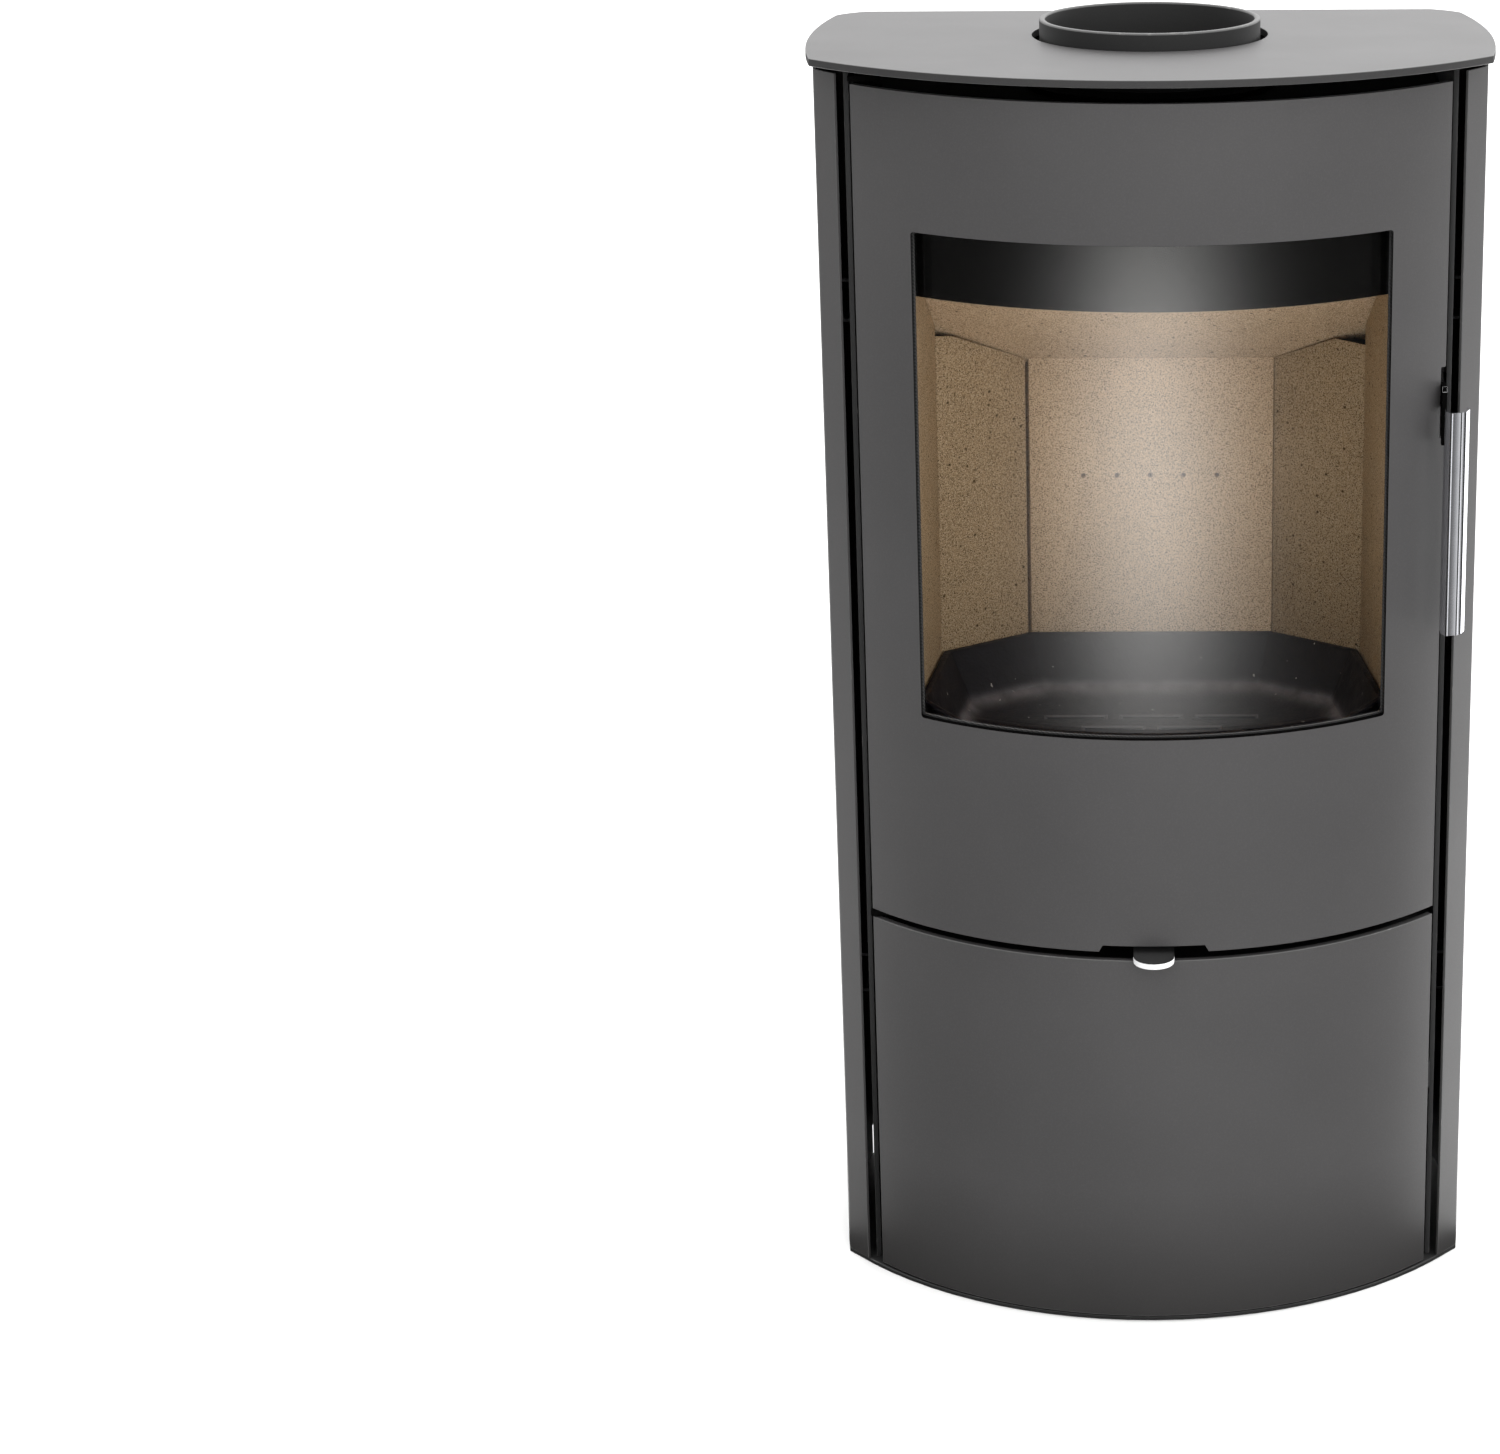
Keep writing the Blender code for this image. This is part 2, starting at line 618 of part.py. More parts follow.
def make_top_plate(root, paint):
    corner_y = PLATE_FRONT_RADIUS / 3
    for _ in range(30):
        corner_y = arc_y(side_x(corner_y), PLATE_FRONT_RADIUS, PLATE_FRONT_RADIUS)
    corner_x = side_x(corner_y)
    right = side_points(corner_y, PLATE_DEPTH - PLATE_CORNER_RUN)[1:]
    start = Vector(right[-1])
    end = Vector((PLATE_HALF_WIDTH - PLATE_CORNER_INSET, PLATE_DEPTH))
    across = (end - start).normalized()
    outward = Vector((across.y, -across.x))
    for share in (1 / 3, 2 / 3):
        bulge = outward * (PLATE_CORNER_BULGE * 4 * share * (1 - share))
        right.append(tuple(start.lerp(end, share) + bulge))
    right.append(tuple(end))
    front = arc_points(PLATE_FRONT_RADIUS, PLATE_FRONT_RADIUS, -corner_x, corner_x)
    outline = front + right + mirrored(right)
    plate = piece("top_plate", extrusion(outline, "z", PLATE_UNDERSIDE, PLATE_HEIGHT), root, paint)
    clear = COLLAR_RADIUS + COLLAR_MARGIN
    boolean(plate, drill(clear, PLATE_UNDERSIDE, PLATE_HEIGHT, (0.0, COLLAR_Y), FLUE_FACETS))


def make_flue_collar(root, paint):
    bottom = FIREBOX_TOP_Z + FIREBOX_PLATE + GAP
    flange_top = bottom + COLLAR_FLANGE_THICKNESS
    rim = PLATE_HEIGHT + COLLAR_RISE
    flange = COLLAR_RADIUS + COLLAR_FLANGE_WIDTH
    profile = [
        (COLLAR_BORE, bottom),
        (flange, bottom),
        (flange, flange_top),
        (COLLAR_RADIUS, flange_top),
        (COLLAR_RADIUS, rim),
        (COLLAR_BORE, rim),
    ]
    mesh = turned(profile, 0.0, 2 * math.pi, (0.0, COLLAR_Y), 2 * math.pi / FLUE_FACETS)
    piece("flue_collar", mesh, root, paint)


def make_firebox_shell(root, steel):
    for name, sign in (("left", -1), ("right", 1)):
        xs = sorted((sign * BODY_INNER_HALF, sign * BODY_OUTER_HALF))
        wall = block(xs, (BODY_FRONT_Y, BODY_BACK_Y + BODY_BACK_WALL), (WALL_BOTTOM, WALL_TOP))
        piece(f"body_wall_{name}", wall, root, steel)
    back_ys = (BODY_BACK_Y, BODY_BACK_Y + BODY_BACK_WALL)
    back = block((-INSIDE_HALF, INSIDE_HALF), back_ys, (WALL_BOTTOM, FIREBOX_TOP_Z - GAP))
    piece("body_back_wall", back, root, steel)

    heights = (FIREBOX_TOP_Z, FIREBOX_TOP_Z + FIREBOX_PLATE)
    roof = level_plate("firebox_top", SEAL_RADIUS, ROOF_REAR_Y, heights, root, steel)
    boolean(roof, drill(COLLAR_BORE, *heights, (0.0, COLLAR_Y), FLUE_FACETS))

    heights = (FIREBOX_FLOOR_Z, FIREBOX_FLOOR_Z + FIREBOX_PLATE)
    floor = level_plate("firebox_floor", FRAME_BACK, INSIDE_BACK_Y, heights, root, steel)
    grate_zs = (FIREBOX_FLOOR_Z - CUT_MARGIN, LINING_BOTTOM + CUT_MARGIN)
    boolean(floor, block((-GRATE_HALF, GRATE_HALF), (GRATE_FRONT_Y, GRATE_REAR_Y), grate_zs))

    heights = (ASH_FLOOR_Z, ASH_FLOOR_Z + THIN_PLATE)
    ash_floor = level_plate("ash_chamber_floor", SEAL_RADIUS, INSIDE_BACK_Y, heights, root, steel)
    for hole in air_holes(*heights):
        boolean(ash_floor, hole)
    boolean(ash_floor, drill(PIVOT_RADIUS + GAP, *heights, (0.0, LEVER_PIVOT_Y)))

    heights = (STORE_CEILING_Z, STORE_CEILING_Z + THIN_PLATE)
    level_plate("wood_store_ceiling", SEAL_RADIUS, INSIDE_BACK_Y, heights, root, steel)


def level_plate(name, arc, back_y, heights, root, steel):
    """Horizontal plate that fills the body from a front arc to the back."""
    outline = arc_points(arc, DOOR_CENTRE_Y, -INSIDE_HALF, INSIDE_HALF)
    outline += [(INSIDE_HALF, back_y), (-INSIDE_HALF, back_y)]
    return piece(name, extrusion(outline, "z", *heights), root, steel)


def air_holes(low, high):
    """Round air inlets on a circle about the lever's pivot, two swings apart."""
    holes = []
    for index in range(AIR_HOLE_COUNT):
        angle = (index - (AIR_HOLE_COUNT - 1) / 2) * 2 * LEVER_SWING
        place = (AIR_HOLE_CIRCLE * math.sin(angle), LEVER_PIVOT_Y - AIR_HOLE_CIRCLE * math.cos(angle))
        holes.append(drill(AIR_HOLE_RADIUS, low, high, place, 12))
    return holes


def make_front_frame(root, steel):
    half_angle = math.asin(INSIDE_HALF / SEAL_RADIUS)
    bottom = ASH_FLOOR_Z + THIN_PLATE + GAP
    back = SEAL_RADIUS - FRONT_FRAME_THICKNESS
    mesh = curved_plate(SEAL_RADIUS, back, bottom, FIREBOX_TOP_Z - GAP, half_angle)
    frame = piece("front_frame", mesh, root, steel)
    opening_angle = frame_inner_angle() - FRAME_LAP
    ash_opening = (bottom + FRAME_FLANGE, FIREBOX_FLOOR_Z - ASH_OPENING_LINTEL)
    fire_opening = (FIREBOX_FLOOR_Z + FIRE_OPENING_SILL, FIREBOX_TOP_Z - FIRE_OPENING_LINTEL)
    for low, high in (ash_opening, fire_opening):
        boolean(frame, curved_plate(SEAL_RADIUS + CUT_MARGIN, back - CUT_MARGIN, low, high, opening_angle))


def make_base_plate(root, steel):
    centre_y = BASE_SETBACK + BASE_FRONT_RADIUS
    front = arc_points(BASE_FRONT_RADIUS, centre_y, -BASE_CORNER_HALF, BASE_CORNER_HALF)
    right = side_points(SIDE_BEND_Y, BASE_SIDE_END_Y, SIDE_INSET)
    right += [(BODY_OUTER_HALF, BASE_SIDE_END_Y), (BODY_OUTER_HALF, SIDE_RETURN_Y)]
    mesh = extrusion(front + right + mirrored(right), "z", 0.0, BASE_THICKNESS)
    plate = piece("base_plate", mesh, root, steel)
    boolean(plate, drill(PIN_RADIUS + GAP, 0.0, BASE_THICKNESS, (HINGE_X, HINGE_Y)))


def side_panel_path():
    path = [(SIDE_STRIP_HALF, SIDE_STRIP_Y)]
    path += side_points(SIDE_BEND_Y, SIDE_REAR_Y, SIDE_INSET)
    path.append((SIDE_RETURN_HALF, SIDE_RETURN_Y))
    return path


def make_side_panels(root, paint):
    outer = side_panel_path()
    inner = offset_path(outer, -SIDE_SHEET)
    for name, sign in (("left", -1), ("right", 1)):
        outline = [(sign * x, y) for x, y in outer + inner[::-1]]
        mesh = extrusion(outline, "z", WALL_BOTTOM, PLATE_UNDERSIDE - SIDE_TOP_CLEARANCE)
        panel = piece(f"side_panel_{name}", mesh, root, paint)
        xs = sorted((sign * (BODY_OUTER_HALF - CUT_MARGIN), sign * (PLATE_HALF_WIDTH + CUT_MARGIN)))
        ys = (BASE_SIDE_END_Y, PLATE_DEPTH + CUT_MARGIN)
        boolean(panel, block(xs, ys, (-CUT_MARGIN, SIDE_NOTCH_HEIGHT)))


def channel_outline(back, front, middle, height, sheet):
    """C section: the web stands at front and two legs reach back."""
    inward = sheet if back < front else -sheet
    low, high = middle - height / 2, middle + height / 2
    return [
        (back, low),
        (front, low),
        (front, high),
        (back, high),
        (back, high - sheet),
        (front - inward, high - sheet),
        (front - inward, low + sheet),
        (back, low + sheet),
    ]


def make_panel_brackets(root, steel):
    ys = (PLATE_WIDEST_Y - BRACKET_LENGTH / 2, PLATE_WIDEST_Y + BRACKET_LENGTH / 2)
    reach = side_x(PLATE_WIDEST_Y, SIDE_INSET + SIDE_SHEET + GAP)
    for side, sign in (("left", -1), ("right", 1)):
        for level, z in (("lower", BRACKET_LOW_Z), ("upper", BRACKET_HIGH_Z)):
            wall = sign * (BODY_OUTER_HALF + GAP)
            outline = channel_outline(wall, sign * reach, z, BRACKET_HEIGHT, BRACKET_SHEET)
            piece(f"panel_bracket_{side}_{level}", extrusion(outline, "y", *ys), root, steel)


def make_rear_cover(root, steel):
    top = PLATE_UNDERSIDE - SIDE_TOP_CLEARANCE
    outside = REAR_COVER_Y + REAR_COVER_SHEET
    cover = block((-REAR_COVER_HALF, REAR_COVER_HALF), (REAR_COVER_Y, outside), (WALL_BOTTOM, top))
    cover = piece("rear_cover", cover, root, steel)
    vents = bmesh.new()
    for index in range(VENT_COUNT):
        x = (index - (VENT_COUNT - 1) / 2) * VENT_PITCH
        for z in (VENT_LOW_Z, VENT_HIGH_Z):
            ys = (REAR_COVER_Y - CUT_MARGIN, outside + CUT_MARGIN)
            add_block(vents, (x - VENT_WIDTH / 2, x + VENT_WIDTH / 2), ys, (z, z + VENT_HEIGHT))
    boolean(cover, vents)
    wall_y = BODY_BACK_Y + BODY_BACK_WALL + GAP
    for level, z in (("lower", BRACKET_LOW_Z), ("upper", BRACKET_HIGH_Z)):
        outline = channel_outline(wall_y, REAR_COVER_Y - GAP, z, BRACKET_HEIGHT, BRACKET_SHEET)
        mesh = extrusion(outline, "x", -SPACER_LENGTH / 2, SPACER_LENGTH / 2)
        piece(f"rear_spacer_{level}", mesh, root, steel)


def baffle_underside(y):
    return BAFFLE_REAR_Z + (LINING_BACK_Y - y) * BAFFLE_SLOPE


def slab(corners, bottom, dips=(0.0, 0.0, 0.0, 0.0)):
    """Upright lining slab whose top follows the baffle, lowered at chosen corners."""
    mesh = bmesh.new()
    low = [mesh.verts.new((x, y, bottom)) for x, y in corners]
    high = [mesh.verts.new((x, y, baffle_underside(y) - GAP - dip)) for (x, y), dip in zip(corners, dips)]
    add_sides(mesh, low, high)
    mesh.faces.new(low)
    mesh.faces.new(high)
    return mesh


def along(start, end, distance):
    """The point a distance from start towards end."""
    share = distance / math.dist(start, end)
    return (start[0] + (end[0] - start[0]) * share, start[1] + (end[1] - start[1]) * share)


def make_lining(root, vermiculite):
    inner = [
        (LINING_FRONT_HALF, LINING_FRONT_Y),
        (LINING_BEND_HALF, LINING_BEND_Y),
        (LINING_BACK_HALF, LINING_BACK_Y),
        (-LINING_BACK_HALF, LINING_BACK_Y),
    ]
    outer = offset_path(inner, LINING_THICKNESS)
    front_inner = meet_arc(along(inner[1], inner[0], LINING_BEND_Y), inner[1], FRAME_BACK)
    front_outer = meet_arc(along(outer[1], outer[0], LINING_BEND_Y), outer[1], FRAME_BACK)
    for name, sign in (("left", -1), ("right", 1)):
        side = [
            front_inner,
            along(inner[1], inner[0], GAP / 2),
            along(outer[1], outer[0], GAP / 2),
            front_outer,
        ]
        piece(f"lining_{name}", slab([(sign * x, y) for x, y in side], LINING_BOTTOM), root, vermiculite)
        diagonal = [
            along(inner[1], inner[2], GAP / 2),
            along(inner[2], inner[1], GAP / 2),
            along(outer[2], outer[1], GAP / 2),
            along(outer[1], outer[2], GAP / 2),
        ]
        mesh = slab([(sign * x, y) for x, y in diagonal], LINING_BOTTOM, (LINING_DIP, 0.0, 0.0, LINING_DIP))
        piece(f"lining_rear_{name}", mesh, root, vermiculite)
    back = [
        (inner[2][0] - GAP, inner[2][1]),
        (outer[2][0] - GAP, outer[2][1]),
        (-outer[2][0] + LINING_JOINT, outer[2][1]),
        (-inner[2][0] + LINING_JOINT, inner[2][1]),
    ]
    back = piece("lining_back", slab(back, LINING_BOTTOM), root, vermiculite)
    jets = bmesh.new()
    ys = (LINING_BACK_Y - CUT_MARGIN, LINING_BACK_Y + LINING_THICKNESS + CUT_MARGIN)
    for index in range(AIR_JET_COUNT):
        x = (index - (AIR_JET_COUNT - 1) / 2) * AIR_JET_PITCH
        add_octagon_hole(jets, x, AIR_JET_Z, AIR_JET_RADIUS, *ys)
    boolean(back, jets)


def add_octagon_hole(mesh, x, z, radius, low, high):
    outline = []
    for index in range(8):
        angle = 2 * math.pi * index / 8
        outline.append((x + radius * math.cos(angle), z + radius * math.sin(angle)))
    add_extrusion(mesh, outline, "y", low, high)


def make_baffle(root, vermiculite):
    tilt = math.atan(BAFFLE_SLOPE)
    rise = Vector((math.sin(tilt), math.cos(tilt))) * BAFFLE_THICKNESS
    front_y = arc_y(BAFFLE_HALF, FRAME_BACK) + BAFFLE_FRONT_GAP
    front = Vector((front_y, baffle_underside(front_y)))
    rear = Vector((BAFFLE_REAR_Y, baffle_underside(BAFFLE_REAR_Y)))
    outline = [tuple(front), tuple(rear), tuple(rear + rise), tuple(front + rise)]
    piece("baffle_plate", extrusion(outline, "x", -BAFFLE_HALF, BAFFLE_HALF), root, vermiculite)


def make_deflector(root, steel):
    radius = FRAME_BACK - GAP
    start = arc_y(INSIDE_HALF, radius) + DEFLECTOR_RAIL_GAP
    rear = start + DEFLECTOR_RAIL_LENGTH
    heights = (DEFLECTOR_Z, DEFLECTOR_Z + THIN_PLATE)
    level_plate("smoke_deflector", radius, rear, heights, root, steel)
    top = DEFLECTOR_Z - GAP
    low = top - DEFLECTOR_RAIL_DROP
    for name, sign in (("left", -1), ("right", 1)):
        wall = INSIDE_HALF
        shelf = INSIDE_HALF - DEFLECTOR_RAIL_WIDTH
        outline = [
            (wall, low),
            (wall, top),
            (shelf, top),
            (shelf, top - BRACKET_SHEET),
            (wall - BRACKET_SHEET, top - BRACKET_SHEET),
            (wall - BRACKET_SHEET, low),
        ]
        mesh = extrusion([(sign * x, z) for x, z in outline], "y", start, rear)
        piece(f"deflector_rail_{name}", mesh, root, steel)


def basin_ring(inset, slope):
    """Eight corners of the basin's outline; slope pulls the walls in towards the floor."""
    radius = SEAL_RADIUS - FRONT_FRAME_THICKNESS - BASIN_CLEARANCE
    bend = (LINING_BEND_HALF - BASIN_CLEARANCE, LINING_BEND_Y)
    side = (LINING_FRONT_HALF - BASIN_CLEARANCE, LINING_FRONT_Y)
    side = meet_arc(along(bend, side, LINING_BEND_Y), bend, radius)
    pull = inset + slope
    right = [
        (BASIN_FRONT_HALF - pull / 2, arc_y(BASIN_FRONT_HALF, radius) + pull),
        (side[0] - pull, side[1] + pull / 2),
        (bend[0] - pull, bend[1] - pull / 2),
        (LINING_BACK_HALF - BASIN_CLEARANCE / 2 - pull / 2, LINING_BACK_Y - BASIN_CLEARANCE - pull),
    ]
    return right + mirrored(right)


def make_fire_basin(root, iron):
    bottom = LINING_BOTTOM
    rim = [BASIN_LIP_Z, BASIN_RIM_Z, BASIN_RIM_Z, BASIN_RIM_Z]
    rim += rim[::-1]
    middle = (BASIN_FLOOR_Z + BASIN_LIP_Z) / 2
    wall = BASIN_RIM_THICKNESS
    halfway = BASIN_SLOPE_RUN * BASIN_FILLET_SHARE
    floor_slope = BASIN_SLOPE_RUN + BASIN_FILLET_RUN
    rings = [
        [(x, y, bottom) for x, y in basin_ring(0.0, BASIN_SLOPE_RUN)],
        [(x, y, z) for (x, y), z in zip(basin_ring(0.0, 0.0), rim)],
        [(x, y, z) for (x, y), z in zip(basin_ring(wall, 0.0), rim)],
        [(x, y, middle) for x, y in basin_ring(wall, halfway)],
        [(x, y, BASIN_FLOOR_Z) for x, y in basin_ring(wall, floor_slope)],
    ]
    mesh = bmesh.new()
    loops = [[mesh.verts.new(point) for point in ring] for ring in rings]
    for first, second in zip(loops, loops[1:]):
        add_sides(mesh, first, second)
    mesh.faces.new(loops[0])
    mesh.faces.new(loops[-1])
    bmesh.ops.triangulate(mesh, faces=[face for face in mesh.faces if len(face.verts) == 4])
    basin = piece("fire_basin", mesh, root, iron)
    slots = bmesh.new()
    for row in range(SLOT_ROWS):
        y = SLOT_REAR_Y - row * SLOT_ROW_PITCH
        ys = (y - SLOT_WIDTH / 2, y + SLOT_WIDTH / 2)
        count = SLOT_COLUMNS - row % 2
        for index in range(count):
            x = (index - (count - 1) / 2) * (SLOT_LENGTH + SLOT_GAP)
            xs = (x - SLOT_LENGTH / 2, x + SLOT_LENGTH / 2)
            add_block(slots, xs, ys, (bottom - CUT_MARGIN, BASIN_FLOOR_Z + CUT_MARGIN))
    boolean(basin, slots)


def make_ash_pan(root, steel):
    bottom = ASH_FLOOR_Z + THIN_PLATE + GAP
    top = FIREBOX_FLOOR_Z - PAN_HEADROOM
    box = block((-PAN_HALF, PAN_HALF), (PAN_FRONT_Y, PAN_REAR_Y), (bottom, top))
    pan = piece("ash_pan", box, root, steel)
    inside = PAN_HALF - PAN_SHEET
    ys = (PAN_FRONT_Y + PAN_SHEET, PAN_REAR_Y - PAN_SHEET)
    boolean(pan, block((-inside, inside), ys, (bottom + PAN_SHEET, top + CUT_MARGIN)))
    grip_top = top - PAN_GRIP_DROP
    ys = (PAN_FRONT_Y - PAN_GRIP_REACH, PAN_FRONT_Y + PAN_SHEET / 2)
    grip = block((-PAN_GRIP_HALF, PAN_GRIP_HALF), ys, (grip_top - PAN_GRIP_SHEET, grip_top))
    boolean(pan, grip, "UNION")


def make_hinges(root, steel, bright):
    centre = (HINGE_X, HINGE_Y)
    xs = (-INSIDE_HALF, HINGE_X + HINGE_PLATE_REACH / 2)
    ys = (HINGE_Y - HINGE_PLATE_FRONT, HINGE_Y + HINGE_PLATE_BACK)
    plates = (("middle", MIDDLE_PLATE_BOTTOM), ("top", TOP_HINGE_PLATE_BOTTOM))
    for name, bottom in plates:
        top = bottom + HINGE_PLATE
        plate = piece(f"hinge_plate_{name}", block(xs, ys, (bottom, top)), root, steel)
        boolean(plate, drill(PIN_RADIUS + GAP, bottom, top, centre))

    top_head = TOP_HINGE_PLATE_BOTTOM + HINGE_PLATE + GAP
    steps = [
        (PIN_RADIUS, FIRE_DOOR_TOP - LUG_PIN_DEPTH),
        (PIN_RADIUS, top_head),
        (PIN_COLLAR_RADIUS, top_head),
        (PIN_COLLAR_RADIUS, top_head + PIN_HEAD),
    ]
    piece("hinge_pin_top", spindle(steps, centre), root, bright)

    collar_low = MIDDLE_PLATE_BOTTOM + HINGE_PLATE + GAP
    collar_high = FIRE_DOOR_BOTTOM
    steps = [
        (PIN_RADIUS, STORE_DOOR_TOP - LUG_PIN_DEPTH),
        (PIN_RADIUS, collar_low),
        (PIN_COLLAR_RADIUS, collar_low),
        (PIN_COLLAR_RADIUS, collar_high),
        (PIN_RADIUS, collar_high),
        (PIN_RADIUS, FIRE_DOOR_BOTTOM + LUG_PIN_DEPTH),
    ]
    piece("hinge_pin_middle", spindle(steps, centre), root, bright)

    collar_low = BASE_THICKNESS + GAP
    steps = [
        (PIN_RADIUS, GAP),
        (PIN_RADIUS, collar_low),
        (PIN_COLLAR_RADIUS, collar_low),
        (PIN_COLLAR_RADIUS, STORE_DOOR_BOTTOM),
        (PIN_RADIUS, STORE_DOOR_BOTTOM),
        (PIN_RADIUS, STORE_DOOR_BOTTOM + LUG_PIN_DEPTH),
    ]
    piece("hinge_pin_bottom", spindle(steps, centre), root, bright)


def make_lug(name, bottom, door, steel):
    """Hinge eye: a curved block behind the door sheet, bored for the pin."""
    top = bottom + LUG_HEIGHT
    back = DOOR_BACK - LUG_DEPTH
    start = HINGE_ANGLE - LUG_LENGTH_OUT / HINGE_RADIUS
    end = HINGE_ANGLE + LUG_LENGTH_IN / HINGE_RADIUS
    profile = [(DOOR_BACK, bottom), (DOOR_BACK, top), (back, top), (back, bottom)]
    lug = piece(name, turned(profile, start, end), door, steel)
    boolean(lug, drill(PIN_RADIUS + HINGE_CLEARANCE, bottom, top, (HINGE_X, HINGE_Y)))


def frame_outer_angle():
    """Half angle of the fire door's frame: it stops short of the hinge eyes."""
    return -HINGE_ANGLE - (LUG_LENGTH_IN + LUG_SIDE_CLEARANCE) / HINGE_RADIUS


def frame_inner_angle():
    return frame_outer_angle() - DOOR_FRAME_BAR / DOOR_BACK


def curved_ring(name, radius, depth, outer, inner, carrier, finish):
    """A frame bent to the door: outer and inner are (half angle, bottom, top)."""
    back = radius - depth
    mesh = curved_plate(radius, back, outer[1], outer[2], outer[0])
    ring = piece(name, mesh, carrier, finish)
    hole = curved_plate(radius + CUT_MARGIN, back - CUT_MARGIN, inner[1], inner[2], inner[0])
    return boolean(ring, hole)


def make_fire_door(door, paint, steel, glass, rope):
    mesh = curved_plate(DOOR_RADIUS, DOOR_INNER_RADIUS, FIRE_DOOR_BOTTOM, FIRE_DOOR_TOP, DOOR_HALF_ANGLE)
    panel = piece("fire_door_panel", mesh, door, paint)
    cut_front = DOOR_SETBACK - CUT_MARGIN
    window_back = arc_y(WINDOW_HALF_WIDTH, DOOR_INNER_RADIUS) + CUT_MARGIN
    boolean(panel, extrusion(window_outline(), "y", cut_front, window_back))
    half = LEVER_NOTCH_HALF_WIDTH
    tip = half - LEVER_NOTCH_TAPER
    low = FIRE_DOOR_BOTTOM - CUT_MARGIN
    high = FIRE_DOOR_BOTTOM + LEVER_NOTCH_HEIGHT
    right = [(half, low), (half, FIRE_DOOR_BOTTOM), (tip, high)]
    notch = right + mirrored(right)
    boolean(panel, extrusion(notch, "y", cut_front, arc_y(half, DOOR_INNER_RADIUS) + CUT_MARGIN))
    xs = (HANDLE_NOTCH_X, HANDLE_NOTCH_X + CUT_MARGIN)
    ys = (arc_y(HANDLE_NOTCH_X, DOOR_RADIUS) - CUT_MARGIN, LATCH_Y + CUT_MARGIN)
    boolean(panel, block(xs, ys, (LATCH_Z - HANDLE_NOTCH_DROP, LATCH_Z + HANDLE_NOTCH_RISE)))

    outer = (frame_outer_angle(), DOOR_FRAME_BOTTOM, DOOR_FRAME_TOP)
    inner = (frame_inner_angle(), DOOR_FRAME_BOTTOM + DOOR_FRAME_BAR, DOOR_FRAME_TOP - DOOR_FRAME_BAR)
    curved_ring("fire_door_frame", DOOR_BACK, DOOR_FRAME_DEPTH, outer, inner, door, steel)
    margin = (DOOR_FRAME_BAR - ROPE_WIDTH) / 2
    turn = margin / DOOR_BACK
    outer = (outer[0] - turn, outer[1] + margin, outer[2] - margin)
    inner = (inner[0] + turn, inner[1] - margin, inner[2] + margin)
    curved_ring("fire_door_rope_seal", ROPE_RADIUS, ROPE_DEPTH, outer, inner, door, rope)

    glass_angle = glass_half_angle()
    glass_bottom = WINDOW_BOTTOM - GLASS_MARGIN
    glass_top = WINDOW_TOP + GLASS_MARGIN
    outer = (glass_angle, glass_bottom, glass_top)
    gasket_angle = math.asin((WINDOW_HALF_WIDTH - GASKET_SHOW) / DOOR_BACK)
    inner = (gasket_angle, WINDOW_BOTTOM + GASKET_SHOW, WINDOW_TOP - GASKET_SHOW)
    curved_ring("glass_gasket", DOOR_BACK, GASKET_THICKNESS, outer, inner, door, rope)
    mesh = curved_plate(GLASS_RADIUS, GLASS_RADIUS - GLASS_THICKNESS, glass_bottom, glass_top, glass_angle)
    piece("door_glass", mesh, door, glass)
    make_glass_retainers(door, steel)


def glass_half_angle():
    return math.asin((WINDOW_HALF_WIDTH + GLASS_OVERLAP) / GLASS_RADIUS)


def make_glass_retainers(door, steel):
    """Bent strips that press the glass to its gasket: one at each side, the air wash strip on top."""
    glass_angle = glass_half_angle()
    back = RETAINER_RADIUS - RETAINER_SHEET
    leg_start = glass_angle + GAP / GLASS_RADIUS
    leg_end = leg_start + RETAINER_LEG / GLASS_RADIUS
    bite = leg_start - (RETAINER_BITE - RETAINER_LEG) / GLASS_RADIUS
    corners = [
        (DOOR_BACK, leg_start),
        (DOOR_BACK, leg_end),
        (back, leg_end),
        (back, bite),
        (RETAINER_RADIUS, bite),
        (RETAINER_RADIUS, leg_start),
    ]
    for name, sign in (("left", -1), ("right", 1)):
        outline = []
        for radius, angle in corners:
            outline.append((sign * radius * math.sin(angle), DOOR_CENTRE_Y - radius * math.cos(angle)))
        zs = (WINDOW_BOTTOM, AIR_WASH_BOTTOM - RETAINER_END_GAP)
        piece(f"glass_retainer_{name}", extrusion(outline, "z", *zs), door, steel)
    top = WINDOW_TOP + AIR_WASH_RISE
    profile = [
        (DOOR_BACK, top),
        (back, top),
        (back, AIR_WASH_BOTTOM),
        (RETAINER_RADIUS, AIR_WASH_BOTTOM),
        (RETAINER_RADIUS, top - AIR_WASH_SHEET),
        (DOOR_BACK, top - AIR_WASH_SHEET),
    ]
    piece("air_wash_strip", turned(profile, -glass_angle, glass_angle), door, steel)


def window_outline():
    """The window in (x, z), with small round corners."""
    outline = []
    radius = WINDOW_CORNER_RADIUS
    corners = (
        (WINDOW_HALF_WIDTH, WINDOW_BOTTOM, -90),
        (WINDOW_HALF_WIDTH, WINDOW_TOP, 0),
        (-WINDOW_HALF_WIDTH, WINDOW_TOP, 90),
        (-WINDOW_HALF_WIDTH, WINDOW_BOTTOM, 180),
    )
    for x, z, start in corners:
        centre_x = x - math.copysign(radius, x)
        centre_z = z + radius if z == WINDOW_BOTTOM else z - radius
        for index in range(3):
            angle = math.radians(start + 45 * index)
            outline.append((centre_x + radius * math.cos(angle), centre_z + radius * math.sin(angle)))
    return outline


